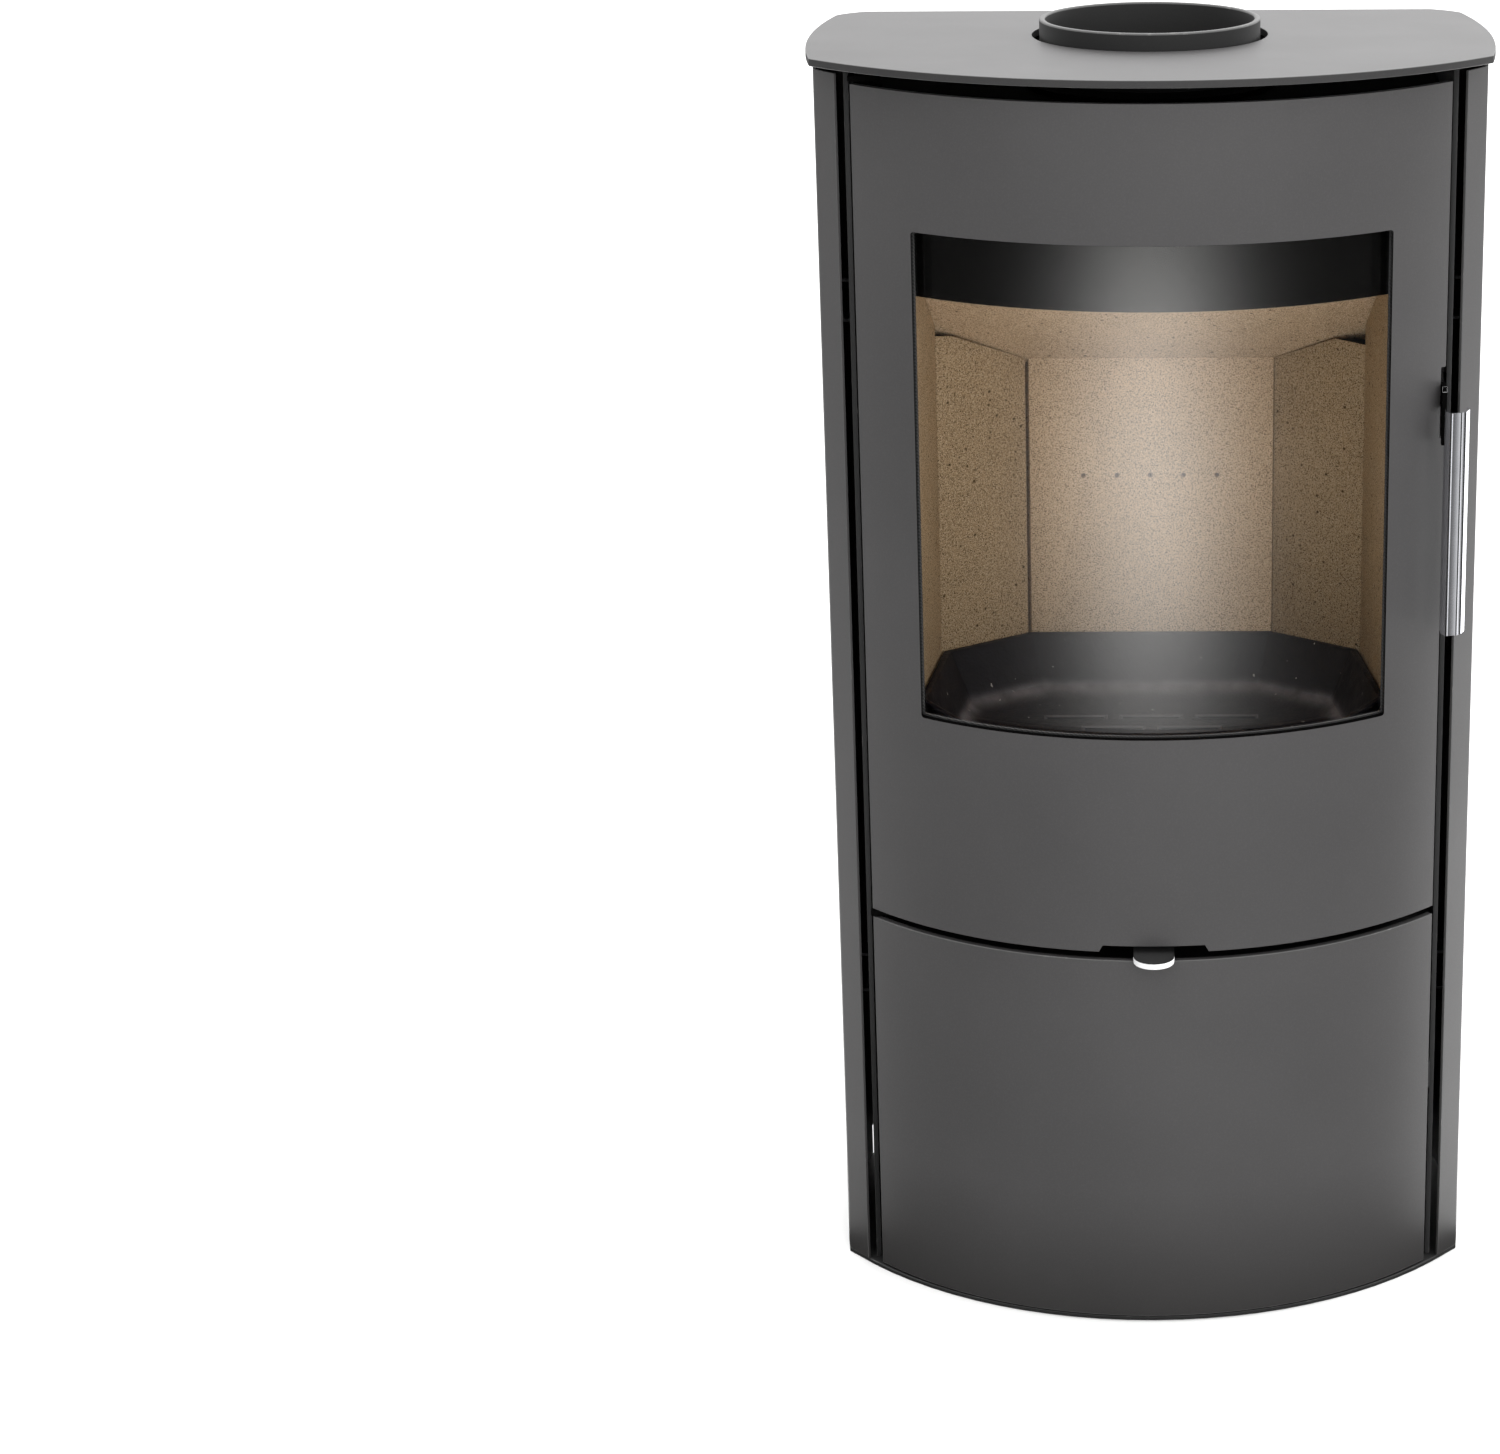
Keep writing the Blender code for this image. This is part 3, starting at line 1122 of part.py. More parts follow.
def make_handle(door, handle, steel, chrome):
    """Mount, pivot pin and the bar: fluted sheet, open at the back; its profile is in shares."""
    block_end = LATCH_ARM_X - GAP
    block_rear = LATCH_Y + LATCH_BLOCK_REAR
    door_edge = DOOR_BACK * DOOR_HALF_CHORD / DOOR_RADIUS
    outline = arc_points(DOOR_BACK, DOOR_CENTRE_Y, LATCH_BLOCK_X, door_edge - LATCH_BLOCK_EDGE)
    outline += [(block_end, block_rear), (LATCH_BLOCK_X, block_rear)]
    half = LATCH_ARM_HALF_HEIGHT
    mount = piece("handle_mount", extrusion(outline, "z", LATCH_Z - half, LATCH_Z + half), door, steel)
    bore = LATCH_PIN_RADIUS + GAP
    boolean(mount, laid_drill(bore, LATCH_BLOCK_X, block_end, LATCH_Y, LATCH_Z))
    head = LATCH_ARM_X + LATCH_ARM_THICKNESS + GAP
    steps = [
        (LATCH_PIN_RADIUS, LATCH_BLOCK_X + LATCH_PIN_INSET),
        (LATCH_PIN_RADIUS, head),
        (LATCH_PIN_HEAD_RADIUS, head),
        (LATCH_PIN_HEAD_RADIUS, head + LATCH_PIN_HEAD),
    ]
    piece("handle_pivot_pin", laid_spindle(steps, LATCH_Y, LATCH_Z), door, chrome)

    back = HANDLE_FRONT_Y + HANDLE_DEPTH
    outer = [(HANDLE_INNER_X, back)]
    for across, depth in HANDLE_PROFILE:
        outer.append((HANDLE_INNER_X + across * HANDLE_WIDTH, HANDLE_FRONT_Y + depth * HANDLE_DEPTH))
    outer.append((HANDLE_INNER_X + HANDLE_WIDTH, back))
    inner = offset_path(outer, -HANDLE_SHEET)
    bar = extrusion(outer + inner[::-1], "z", HANDLE_BOTTOM, HANDLE_BOTTOM + HANDLE_LENGTH)
    piece("handle_bar", bar, handle, chrome)
    make_latch_hook(handle, back + GAP, chrome)


def make_latch_hook(handle, bar_back, chrome):
    """Plate arm: screwed behind the bar, through the door's notch, round the pivot to the tooth."""
    half = LATCH_ARM_HALF_HEIGHT
    low, high = LATCH_Z - half, LATCH_Z + half
    tooth_end = LATCH_Y + LATCH_TOOTH_REACH
    tooth_start = tooth_end - LATCH_TOOTH_WIDTH
    tip = LATCH_Z + LATCH_TOOTH_HEIGHT
    foot = bar_back + LATCH_FOOT_DEPTH
    outline = [
        (bar_back, high - LATCH_FOOT_LENGTH - 2 * half),
        (foot, high - LATCH_FOOT_LENGTH - 2 * half),
        (foot, low - LATCH_FOOT_DEPTH),
        (foot + LATCH_FOOT_DEPTH, low),
        (tooth_end - LATCH_TOOTH_CHAMFER, low),
        (tooth_end, low + LATCH_TOE_CHAMFER),
        (tooth_end, tip - LATCH_TOOTH_CHAMFER),
        (tooth_end - LATCH_TOOTH_CHAMFER, tip),
        (tooth_start, tip),
        (tooth_start, high - LATCH_TOOTH_CHAMFER),
        (tooth_start - LATCH_TOOTH_CHAMFER, high),
        (bar_back + LATCH_FOOT_DEPTH / 2, high),
        (bar_back, high - LATCH_FOOT_DEPTH / 2),
    ]
    xs = (LATCH_ARM_X, LATCH_ARM_X + LATCH_ARM_THICKNESS)
    hook = piece("latch_hook", extrusion(outline, "x", *xs), handle, chrome)
    boolean(hook, laid_drill(LATCH_PIN_RADIUS + GAP, *xs, LATCH_Y, LATCH_Z))


def make_latch_catch(root, steel):
    """Stud on the right wall, above the path of the hook's tooth."""
    z = LATCH_Z + LATCH_TOOTH_HEIGHT + 2 * GAP + CATCH_BASE_RADIUS
    steps = [
        (CATCH_RADIUS, INSIDE_HALF - CATCH_LENGTH),
        (CATCH_RADIUS, INSIDE_HALF - CATCH_BASE),
        (CATCH_BASE_RADIUS, INSIDE_HALF - CATCH_BASE),
        (CATCH_BASE_RADIUS, INSIDE_HALF),
    ]
    piece("latch_catch", laid_spindle(steps, CATCH_Y, z), root, steel)


def make_store_door(root, door, paint, steel, magnet):
    mesh = curved_plate(DOOR_RADIUS, DOOR_INNER_RADIUS, STORE_DOOR_BOTTOM, STORE_DOOR_TOP, DOOR_HALF_ANGLE)
    piece("store_door_panel", mesh, door, paint)
    back = DOOR_BACK - STIFFENER_DEPTH
    for name, z in (("lower", STIFFENER_Z), ("upper", STORE_DOOR_TOP - STIFFENER_Z)):
        mesh = curved_plate(DOOR_BACK, back, z, z + STIFFENER_HEIGHT, STIFFENER_HALF_ANGLE)
        piece(f"store_door_stiffener_{name}", mesh, door, steel)
    outline = arc_points(DOOR_BACK, DOOR_CENTRE_Y, STRIKER_INNER_X, STRIKER_OUTER_X)
    face = MAGNET_Y - GAP
    outline += [(STRIKER_OUTER_X, face), (STRIKER_INNER_X, face)]
    piece("store_door_striker", extrusion(outline, "z", MAGNET_Z, MAGNET_Z + MAGNET_HEIGHT), door, steel)
    xs = (INSIDE_HALF - MAGNET_LENGTH, INSIDE_HALF)
    mesh = block(xs, (MAGNET_Y, MAGNET_Y + MAGNET_DEPTH), (MAGNET_Z, MAGNET_Z + MAGNET_HEIGHT))
    piece("magnet_catch", mesh, root, magnet)


def make_air_lever(root, lever, steel, bright):
    half = LEVER_WIDTH / 2
    hub_angle = math.asin(half / LEVER_HUB_RADIUS)
    fan_angle = LEVER_SWING * (AIR_HOLE_COUNT - 1) + 2 * LEVER_SWING
    neck_inner = math.asin(half / LEVER_FAN_INNER)
    neck_outer = math.asin(half / LEVER_FAN_OUTER)

    def ring(radius, start, end, count):
        points = []
        for index in range(count + 1):
            angle = start + (end - start) * index / count
            points.append((radius * math.sin(angle), LEVER_PIVOT_Y - radius * math.cos(angle)))
        return points

    outline = []
    for index in range(LEVER_NOSE_STEPS + 1):
        angle = math.pi * (index / LEVER_NOSE_STEPS - 0.5)
        outline.append((half * math.sin(angle), half - LEVER_REACH - half * math.cos(angle)))
    outline += ring(LEVER_FAN_OUTER, neck_outer, fan_angle, 3)
    outline += ring(LEVER_FAN_INNER, fan_angle, neck_inner, 3)
    outline += ring(LEVER_HUB_RADIUS, hub_angle, 2 * math.pi - hub_angle, 14)
    outline += ring(LEVER_FAN_INNER, -neck_inner, -fan_angle, 3)
    outline += ring(LEVER_FAN_OUTER, -fan_angle, -neck_outer, 3)
    bottom = LEVER_TOP - LEVER_THICKNESS
    plate = piece("air_lever", extrusion(outline, "z", bottom, LEVER_TOP), lever, steel)
    for hole in air_holes(bottom, LEVER_TOP):
        boolean(plate, hole)
    boolean(plate, drill(PIVOT_RADIUS + GAP, bottom, LEVER_TOP, (0.0, LEVER_PIVOT_Y)))

    low = bottom - GAP
    high = ASH_FLOOR_Z + THIN_PLATE + GAP
    steps = [
        (PIVOT_HEAD_RADIUS, low - PIVOT_HEAD),
        (PIVOT_HEAD_RADIUS, low),
        (PIVOT_RADIUS, low),
        (PIVOT_RADIUS, high),
        (PIVOT_HEAD_RADIUS, high),
        (PIVOT_HEAD_RADIUS, high + PIVOT_HEAD),
    ]
    piece("lever_rivet", spindle(steps, (0.0, LEVER_PIVOT_Y)), root, bright)


def main():
    clear_scene()
    paint = material("grey_stove_paint", (0.105, 0.103, 0.100), 0.5, 0.3)
    dark_paint = material("dark_stove_paint", (0.030, 0.030, 0.031), 0.55, 0.2)
    steel = material("dark_sheet_steel", (0.050, 0.050, 0.052), 0.6, 0.6)
    bright = material("bright_steel", (0.60, 0.60, 0.60), 0.25, 1.0)
    chrome = material("chrome", (0.80, 0.80, 0.82), 0.08, 1.0)
    iron = material("cast_iron", (0.016, 0.016, 0.020), 0.6, 0.5)
    vermiculite = material("vermiculite", (0.42, 0.33, 0.23), 0.9)
    glass = material("clear_ceramic_glass", (0.95, 0.95, 0.93), 0.03, 0.0, 1.0)
    rope = material("black_glass_rope", (0.012, 0.012, 0.012), 0.9)
    magnet = material("magnet_block", (0.05, 0.05, 0.05), 0.5)

    root = anchor("stove", (0.0, 0.0, 0.0))
    fire_door = anchor("fire_door", (HINGE_X, HINGE_Y, FIRE_DOOR_BOTTOM), root)
    store_door = anchor("store_door", (HINGE_X, HINGE_Y, STORE_DOOR_BOTTOM), root)
    handle = anchor("handle", (LATCH_ARM_X, LATCH_Y, LATCH_Z), fire_door)
    lever = anchor("lever", (0.0, LEVER_PIVOT_Y, LEVER_TOP), root)
    root.location = (0.0, -FOOTPRINT_MIDDLE_Y, 0.0)

    make_base_plate(root, dark_paint)
    make_firebox_shell(root, dark_paint)
    make_front_frame(root, dark_paint)
    make_top_plate(root, paint)
    make_flue_collar(root, paint)
    make_side_panels(root, paint)
    make_panel_brackets(root, steel)
    make_rear_cover(root, dark_paint)
    make_lining(root, vermiculite)
    make_baffle(root, vermiculite)
    make_deflector(root, steel)
    make_fire_basin(root, iron)
    make_ash_pan(root, steel)
    make_hinges(root, dark_paint, bright)
    make_fire_door(fire_door, paint, dark_paint, glass, rope)
    make_lug("fire_door_lug_top", FIRE_DOOR_TOP - LUG_HEIGHT, fire_door, dark_paint)
    make_lug("fire_door_lug_bottom", FIRE_DOOR_BOTTOM + GAP, fire_door, dark_paint)
    make_handle(fire_door, handle, steel, chrome)
    make_latch_catch(root, bright)
    make_store_door(root, store_door, paint, dark_paint, magnet)
    make_lug("store_door_lug_top", STORE_DOOR_TOP - LUG_HEIGHT, store_door, dark_paint)
    make_lug("store_door_lug_bottom", STORE_DOOR_BOTTOM + GAP, store_door, dark_paint)
    make_air_lever(root, lever, paint, bright)


main()
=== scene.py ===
import json
import math

import bmesh
import bpy
from mathutils import Matrix, Vector

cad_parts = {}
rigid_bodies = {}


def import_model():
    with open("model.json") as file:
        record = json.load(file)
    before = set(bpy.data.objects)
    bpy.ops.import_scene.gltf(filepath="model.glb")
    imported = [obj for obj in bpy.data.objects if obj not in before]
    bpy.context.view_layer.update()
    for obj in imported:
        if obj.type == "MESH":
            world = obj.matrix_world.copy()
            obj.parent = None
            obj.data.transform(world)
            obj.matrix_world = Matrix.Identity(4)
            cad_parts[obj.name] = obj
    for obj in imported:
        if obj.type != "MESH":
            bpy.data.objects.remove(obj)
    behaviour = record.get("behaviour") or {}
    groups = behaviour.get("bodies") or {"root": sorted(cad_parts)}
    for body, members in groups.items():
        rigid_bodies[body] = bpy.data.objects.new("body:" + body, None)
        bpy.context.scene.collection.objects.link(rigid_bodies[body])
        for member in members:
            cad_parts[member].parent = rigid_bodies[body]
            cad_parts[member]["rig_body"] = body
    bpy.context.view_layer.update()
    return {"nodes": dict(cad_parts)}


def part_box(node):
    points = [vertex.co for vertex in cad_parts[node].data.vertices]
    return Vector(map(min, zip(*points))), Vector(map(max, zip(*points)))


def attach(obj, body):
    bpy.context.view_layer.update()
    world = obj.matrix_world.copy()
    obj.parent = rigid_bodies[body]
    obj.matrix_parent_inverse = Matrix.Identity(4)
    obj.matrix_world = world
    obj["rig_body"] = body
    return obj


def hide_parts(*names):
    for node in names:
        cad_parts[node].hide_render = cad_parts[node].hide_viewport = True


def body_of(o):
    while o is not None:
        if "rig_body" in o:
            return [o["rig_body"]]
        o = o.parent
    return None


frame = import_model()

# Camera: solved from the stove's own edges, for a frame of 1500 x 1454
CAMERA_PLACE = (-0.021757, -2.475807, 1.253702)
CAMERA_PITCH = 0.33335
CAMERA_YAW = 0.00117
CAMERA_ROLL = -0.00428
CAMERA_LENS = 88.786
CAMERA_SENSOR = 36.0
CAMERA_SHIFT = -0.25

# World's brightness by direction (x right, y away, z up): each slope is (from, to, start, end)
SKY_UP = (0.12, 2.40, 0.0, 1.0)
SKY_ACROSS = (-0.14, 0.32, -1.0, 1.0)
SKY_BEHIND = (0.0, 1.05, 0.1, 0.9)
SKY_RIGHT = (0.0, 0.35, 0.0, 0.12)
SKY_RIGHT_BEHIND = (0.0, 1.0, 0.5, 0.9)
FLANK_BEHIND = (0.0, 1.0, -0.02, 0.45)
FLANK_ACROSS = (1.0, 3.4, -1.0, 1.0)
FLANK_LOW = (1.45, 0.15, -0.42, -0.15)
HORIZON = (0.0, 1.0, -0.03, 0.03)
GROUND = 0.015

# Soft bright patches in front, below the horizon: (x, width, z, height, strength)
PANE_GLOW = (0.0, 0.39, -0.262, 0.065, 1.62)
LOW_GLOW = (0.12, 0.50, -0.54, 0.11, 1.9)
PATCH_FULL = -0.3

# Lamps: (name, place, target, size, radiance)
LAMPS = (
    ("front", (1.3, -2.4, 0.8), (0.0, 0.0, 0.30), (2.0, 1.0), 3.8),
    ("right", (2.2, -1.2, 1.5), (0.0, 0.0, 0.35), (1.4, 1.4), 1.2),
)

# Stage, in metres: the floor, and the dark form under it that shades the foot in gloss
FLOOR_HALF = 60.0
FLOOR_TOP = -0.0002
SHADE_LOW = -0.0006
SHADE_TOP = -0.0004
SHADE_SIDE = 0.02
SHADE_FRONT = 0.22
SHADE_CORNER = 0.2

# How finely curves are cut, and from which corner on a path gets an arc and a surface a crease
FINE = math.radians(1.0)
STRAIGHT = math.radians(165)
SMOOTH = math.radians(46)
FLUE_FACETS = 128
SCREW_FACETS = 24
SIDE_STEPS = 28
CORNER_SHARE = 0.45
TINY = 1e-6

# Width of rounded edges in metres, and the turn in degrees over which an edge is rounded
EDGE = 0.0005
SHEET_EDGE = 0.0006
THIN_EDGE = 0.0004
BOARD_EDGE = 0.0009
CAST_EDGE = 0.0012
EDGE_LIMIT = 30
FOLD_LIMIT = 50

# Shared sizes in metres; GAP is left between pieces, and CUT is how far a cutter reaches past a surface
GAP = 0.0003
CUT = 0.010
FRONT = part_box("top_plate")[0][1]

# Doors, bent about one upright axis
DOOR_RADIUS = 0.272
SHEET = 0.005
DOOR_LOW, DOOR_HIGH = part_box("fire_door_panel")
DOOR_CENTRE = DOOR_LOW[1] + DOOR_RADIUS
DOOR_HALF = DOOR_HIGH[0]
DOOR_ANGLE = math.asin(DOOR_HALF / DOOR_RADIUS)
DOOR_BACK = DOOR_RADIUS - SHEET - GAP

# Fire door's window and its notches for the air lever and the handle
WINDOW_HALF = 0.1575
WINDOW_LOW = 0.4355
WINDOW_TOP = 0.770
WINDOW_CORNER = 0.002
RIM = 0.0007
NOTCH_HALF = 0.0375
NOTCH_TAPER = 0.0025
NOTCH_RISE = 0.0047
HANDLE_NOTCH_X = 0.1935
HANDLE_NOTCH_LOW = 0.622
HANDLE_NOTCH_TOP = 0.6705

# Glass and the black sheet behind its top
GASKET = 0.0018
PANE = 0.004
PANE_HALF = 0.168
STRIP = 0.002
PANE_MIRROR = 0.12

# Top plate: bowed front and sides, and a shallow slanted corner at each end of its back
PLATE_SIDE_RADIUS = 0.515
PLATE_FRONT_RADIUS = 0.311
PLATE_WIDEST = FRONT + 0.182
PLATE_CORNER_DEPTH = 0.017
PLATE_CORNER_WIDTH = 0.0316
PLATE_CORNER_BOW = 0.0017
PLATE_CORNER_STEPS = 8
PLATE_HOLE = 0.080
MEETING_ROUNDS = 30

# Flue collar
COLLAR_LOW, COLLAR_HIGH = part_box("flue_collar")
COLLAR_CENTRE = (COLLAR_LOW[1] + COLLAR_HIGH[1]) / 2
COLLAR_BORE = 0.071
COLLAR_OUTER = 0.075
COLLAR_FLANGE = 0.004
COLLAR_FOOT = 0.003
COLLAR_FOOT_TOP = 0.0068
COLLAR_LIP = 0.0012
COLLAR_WALL_SPREAD = 0.001

# Side panels: (half width, depth) of the front and back folds, and the notch at the foot of the back
SIDE_SHEET = 0.002
SIDE_INSET = 0.0045
SIDE_FRONT = (0.208, 0.100)
SIDE_BOW_START = 0.118
SIDE_BOW_END = 0.290
SIDE_BACK = (0.199, 0.305)
SIDE_FOLD = 0.004
FOOT_NOTCH_X = (0.190, 0.245)
FOOT_NOTCH_Y = (0.278, 0.318)
FOOT_NOTCH_TOP = 0.026

# Basin: height of the painted highlight along its fillet, and height of its floor's slots, whose edges get a
# painted highlight
BASIN_FILLET = 0.4012
BASIN_SLOTS = 0.3965

# Slanted rear boards: how their tops run, and their wedges as (node, side, start, drop)
REAR_BOARD_RETURN = 0.0236
REAR_BOARD_FALL = 0.0308
REAR_WEDGES = (("lining_rear_left", -1, 0.138, 0.0040), ("lining_rear_right", 1, 0.1295, 0.0115))

# Latch hook's foot ends at this height; it is painted black as shade, and a light finish shows as painted
# highlight in front of a depth, on the foot's end and up top
HOOK_FOOT = 0.6195
HOOK_FOOT_EDGE = 0.002
HOOK_TOP_EDGE = 0.655
HOOK_BRIGHT = -0.055

# Air lever: how far back the bare metal of its edge goes, made light as a painted highlight
LEVER_NOSE = 0.020

# Handle bar's section: ridges as (share of width, share of depth), with facets between them. The facets are
# a little hollow, and the first one swells
BAR_RIDGES = ((0.0, 0.31), (0.234, 0.0), (0.617, 0.08), (0.83, 0.275), (1.0, 0.68))
BAR_STEPS = 8
BAR_HOLLOW = 0.012
BAR_SWELL = -0.06
BAR_SHEET = 0.0015

# Rear cover's screws: places as (x, z), and half a head's section as (radius, height)
SCREW_PLACES = tuple((x, z) for x in (-0.186, 0.0, 0.186) for z in (0.200, 0.700))
SCREW_STEPS = (
    (0.0046, 0.0),
    (0.0046, 0.0006),
    (0.0041, 0.0013),
    (0.0030, 0.0018),
    (0.0019, 0.0020),
    (0.0017, 0.0008),
    (0.0004, 0.0008),
)

# Which way a face looks, by its normal's Z: under the first it stands, over the others it lies
UPRIGHT = 0.3
LEVEL = 0.7
LEVER_LEVEL = 0.8


def row(y):
    """Depth measured from the front of the top plate, as a place in the frame."""
    return FRONT + y


def swell(share):
    """A shallow bow: 0 at both ends, 1 in the middle."""
    return 4 * share * (1 - share)


# Mesh helpers
def prism(outline, axis, low, high):
    """Draw a closed outline out along Z, or along Y, where its points are (x, z)."""
    def corner(a, b, along):
        return (a, b, along) if axis == "z" else (a, along, b)

    mesh = bmesh.new()
    bottom = [mesh.verts.new(corner(a, b, low)) for a, b in outline]
    top = [mesh.verts.new(corner(a, b, high)) for a, b in outline]
    add_sides(mesh, bottom, top)
    mesh.faces.new(bottom)
    mesh.faces.new(top)
    return mesh


def add_sides(mesh, first, second):
    """Join two loops of as many points with faces."""
    for index in range(len(first)):
        after = (index + 1) % len(first)
        mesh.faces.new((first[index], first[after], second[after], second[index]))


def box_mesh(low, high):
    outline = [(low[0], low[1]), (high[0], low[1]), (high[0], high[1]), (low[0], high[1])]
    return prism(outline, "z", low[2], high[2])


def bent(profile, start, end, step=FINE, centre=(0.0, DOOR_CENTRE)):
    """Turn a closed (radius, z) profile about an upright axis; angle 0 faces the front."""
    mesh = bmesh.new()
    whole = end - start > 2 * math.pi - TINY
    count = max(2, math.ceil((end - start) / step - TINY))
    rings = []
    for index in range(count if whole else count + 1):
        angle = start + (end - start) * index / count
        ring = []
        for radius, z in profile:
            x = centre[0] + radius * math.sin(angle)
            y = centre[1] - radius * math.cos(angle)
            ring.append(mesh.verts.new((x, y, z)))
        rings.append(ring)
    for first, second in zip(rings, rings[1:]):
        add_sides(mesh, first, second)
    if whole:
        add_sides(mesh, rings[-1], rings[0])
    else:
        mesh.faces.new(rings[0])
        mesh.faces.new(rings[-1])
    return mesh


def bent_plate(outer, inner, low, high, half_angle):
    """A plate bent about the doors' axis."""
    return bent([(outer, low), (outer, high), (inner, high), (inner, low)], -half_angle, half_angle)


def lathe(steps, facets):
    """Solid turned piece about Z through the origin: steps are (radius, z)."""
    mesh = bmesh.new()
    rings = []
    for radius, z in steps:
        ring = []
        for index in range(facets):
            angle = 2 * math.pi * index / facets
            ring.append(mesh.verts.new((radius * math.cos(angle), radius * math.sin(angle), z)))
        rings.append(ring)
    for first, second in zip(rings, rings[1:]):
        add_sides(mesh, first, second)
    mesh.faces.new(rings[0])
    mesh.faces.new(rings[-1])
    return mesh


def moved(mesh, place, turn=None):
    """Turn a mesh, then put it in its place."""
    matrix = Matrix.Translation(place)
    if turn is not None:
        matrix = matrix @ turn
    bmesh.ops.transform(mesh, matrix=matrix, verts=mesh.verts)
    return mesh


def link(name, mesh):
    """Make a mesh into an object of the scene."""
    bmesh.ops.recalc_face_normals(mesh, faces=mesh.faces)
    data = bpy.data.meshes.new(name)
    mesh.to_mesh(data)
    mesh.free()
    made = bpy.data.objects.new(name, data)
    bpy.context.scene.collection.objects.link(made)
    return made


def settle(made):
    """Turn a piece's modifiers into its mesh."""
    bpy.context.view_layer.update()
    seen = made.evaluated_get(bpy.context.evaluated_depsgraph_get())
    data = bpy.data.meshes.new_from_object(seen)
    made.modifiers.clear()
    made.data = data


def cut_out(made, mesh):
    """Cut a closed shape out of a piece."""
    cutter = link("cutter", mesh)
    step = made.modifiers.new("Cut", "BOOLEAN")
    step.operation = "DIFFERENCE"
    step.object = cutter
    settle(made)
    bpy.data.objects.remove(cutter, do_unlink=True)


def finish(made, body, finishes, stands_for=(), edge=EDGE, segments=2, limit=EDGE_LIMIT):
    """Round a piece's edges, give it its materials and hang it on its body."""
    if not isinstance(finishes, (list, tuple)):
        finishes = [finishes]
    made.data.materials.clear()
    for finish_material in finishes:
        made.data.materials.append(finish_material)
    made.data.shade_smooth()
    if edge:
        bevel = made.modifiers.new("Edges", "BEVEL")
        bevel.width = edge
        bevel.segments = segments
        bevel.limit_method = "ANGLE"
        bevel.angle_limit = math.radians(limit)
        bevel.harden_normals = True
        bevel.use_clamp_overlap = True
        bevel.material = len(finishes) - 1
        settle(made)
    else:
        made.data.set_sharp_from_angle(angle=SMOOTH)
    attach(made, body)
    if stands_for:
        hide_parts(*stands_for)
    return made


def arc_y(x, radius, centre=DOOR_CENTRE):
    """Depth at x of an arc that bows to the front."""
    return centre - math.sqrt(radius**2 - x**2)


def front_arc(radius, centre, start_x, end_x):
    """Points along an arc that bows to the front."""
    start, end = math.asin(start_x / radius), math.asin(end_x / radius)
    count = max(2, math.ceil(abs(end - start) / FINE))
    points = []
    for index in range(count + 1):
        angle = start + (end - start) * index / count
        points.append((radius * math.sin(angle), centre - radius * math.cos(angle)))
    return points


def side_x(y, inset=0.0):
    """Half width of the bowed side at a depth, less an inset."""
    drop = PLATE_SIDE_RADIUS - math.sqrt(PLATE_SIDE_RADIUS**2 - (y - PLATE_WIDEST) ** 2)
    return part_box("top_plate")[1][0] - inset - drop


def side_points(start, end, inset=0.0):
    """Points along the bowed side, from one depth to another."""
    points = []
    for index in range(SIDE_STEPS + 1):
        y = start + (end - start) * index / SIDE_STEPS
        points.append((side_x(y, inset), y))
    return points


def mirrored(points):
    """The same path on the stove's other side, in reverse order."""
    return [(-x, y) for x, y in reversed(points)]


def rounded(points, radius, steps, closed=True):
    """Replace each sharp corner of a path by an arc."""
    result = []
    count = len(points)
    for index, point in enumerate(points):
        if not closed and index in (0, count - 1):
            result.append(point)
            continue
        here = Vector(point)
        before = Vector(points[index - 1]) - here
        after = Vector(points[(index + 1) % count]) - here
        angle = before.angle(after)
        if angle > STRAIGHT:
            result.append(point)
            continue
        longest = min(before.length, after.length) * CORNER_SHARE
        reach = min(radius / math.tan(angle / 2), longest)
        size = reach * math.tan(angle / 2)
        middle = (before.normalized() + after.normalized()).normalized() * (size / math.sin(angle / 2))
        start = before.normalized() * reach - middle
        end = after.normalized() * reach - middle
        sweep = start.angle_signed(end)
        for step in range(steps + 1):
            turn = Matrix.Rotation(-sweep * step / steps, 2)
            result.append(tuple(here + middle + turn @ start))
    return result


def offset_path(points, distance):
    """A path that follows an open one, a distance to its right."""
    moved_points = []
    for index, point in enumerate(points):
        before = points[max(index - 1, 0)]
        after = points[min(index + 1, len(points) - 1)]
        normals = []
        for first, second in ((before, point), (point, after)):
            length = math.dist(first, second)
            if length > 0:
                across = (second[1] - first[1], first[0] - second[0])
                normals.append(Vector(across) / length)
        middle = sum(normals, Vector((0.0, 0.0))).normalized()
        reach = distance / middle.dot(normals[0])
        moved_points.append((point[0] + middle.x * reach, point[1] + middle.y * reach))
    return moved_points


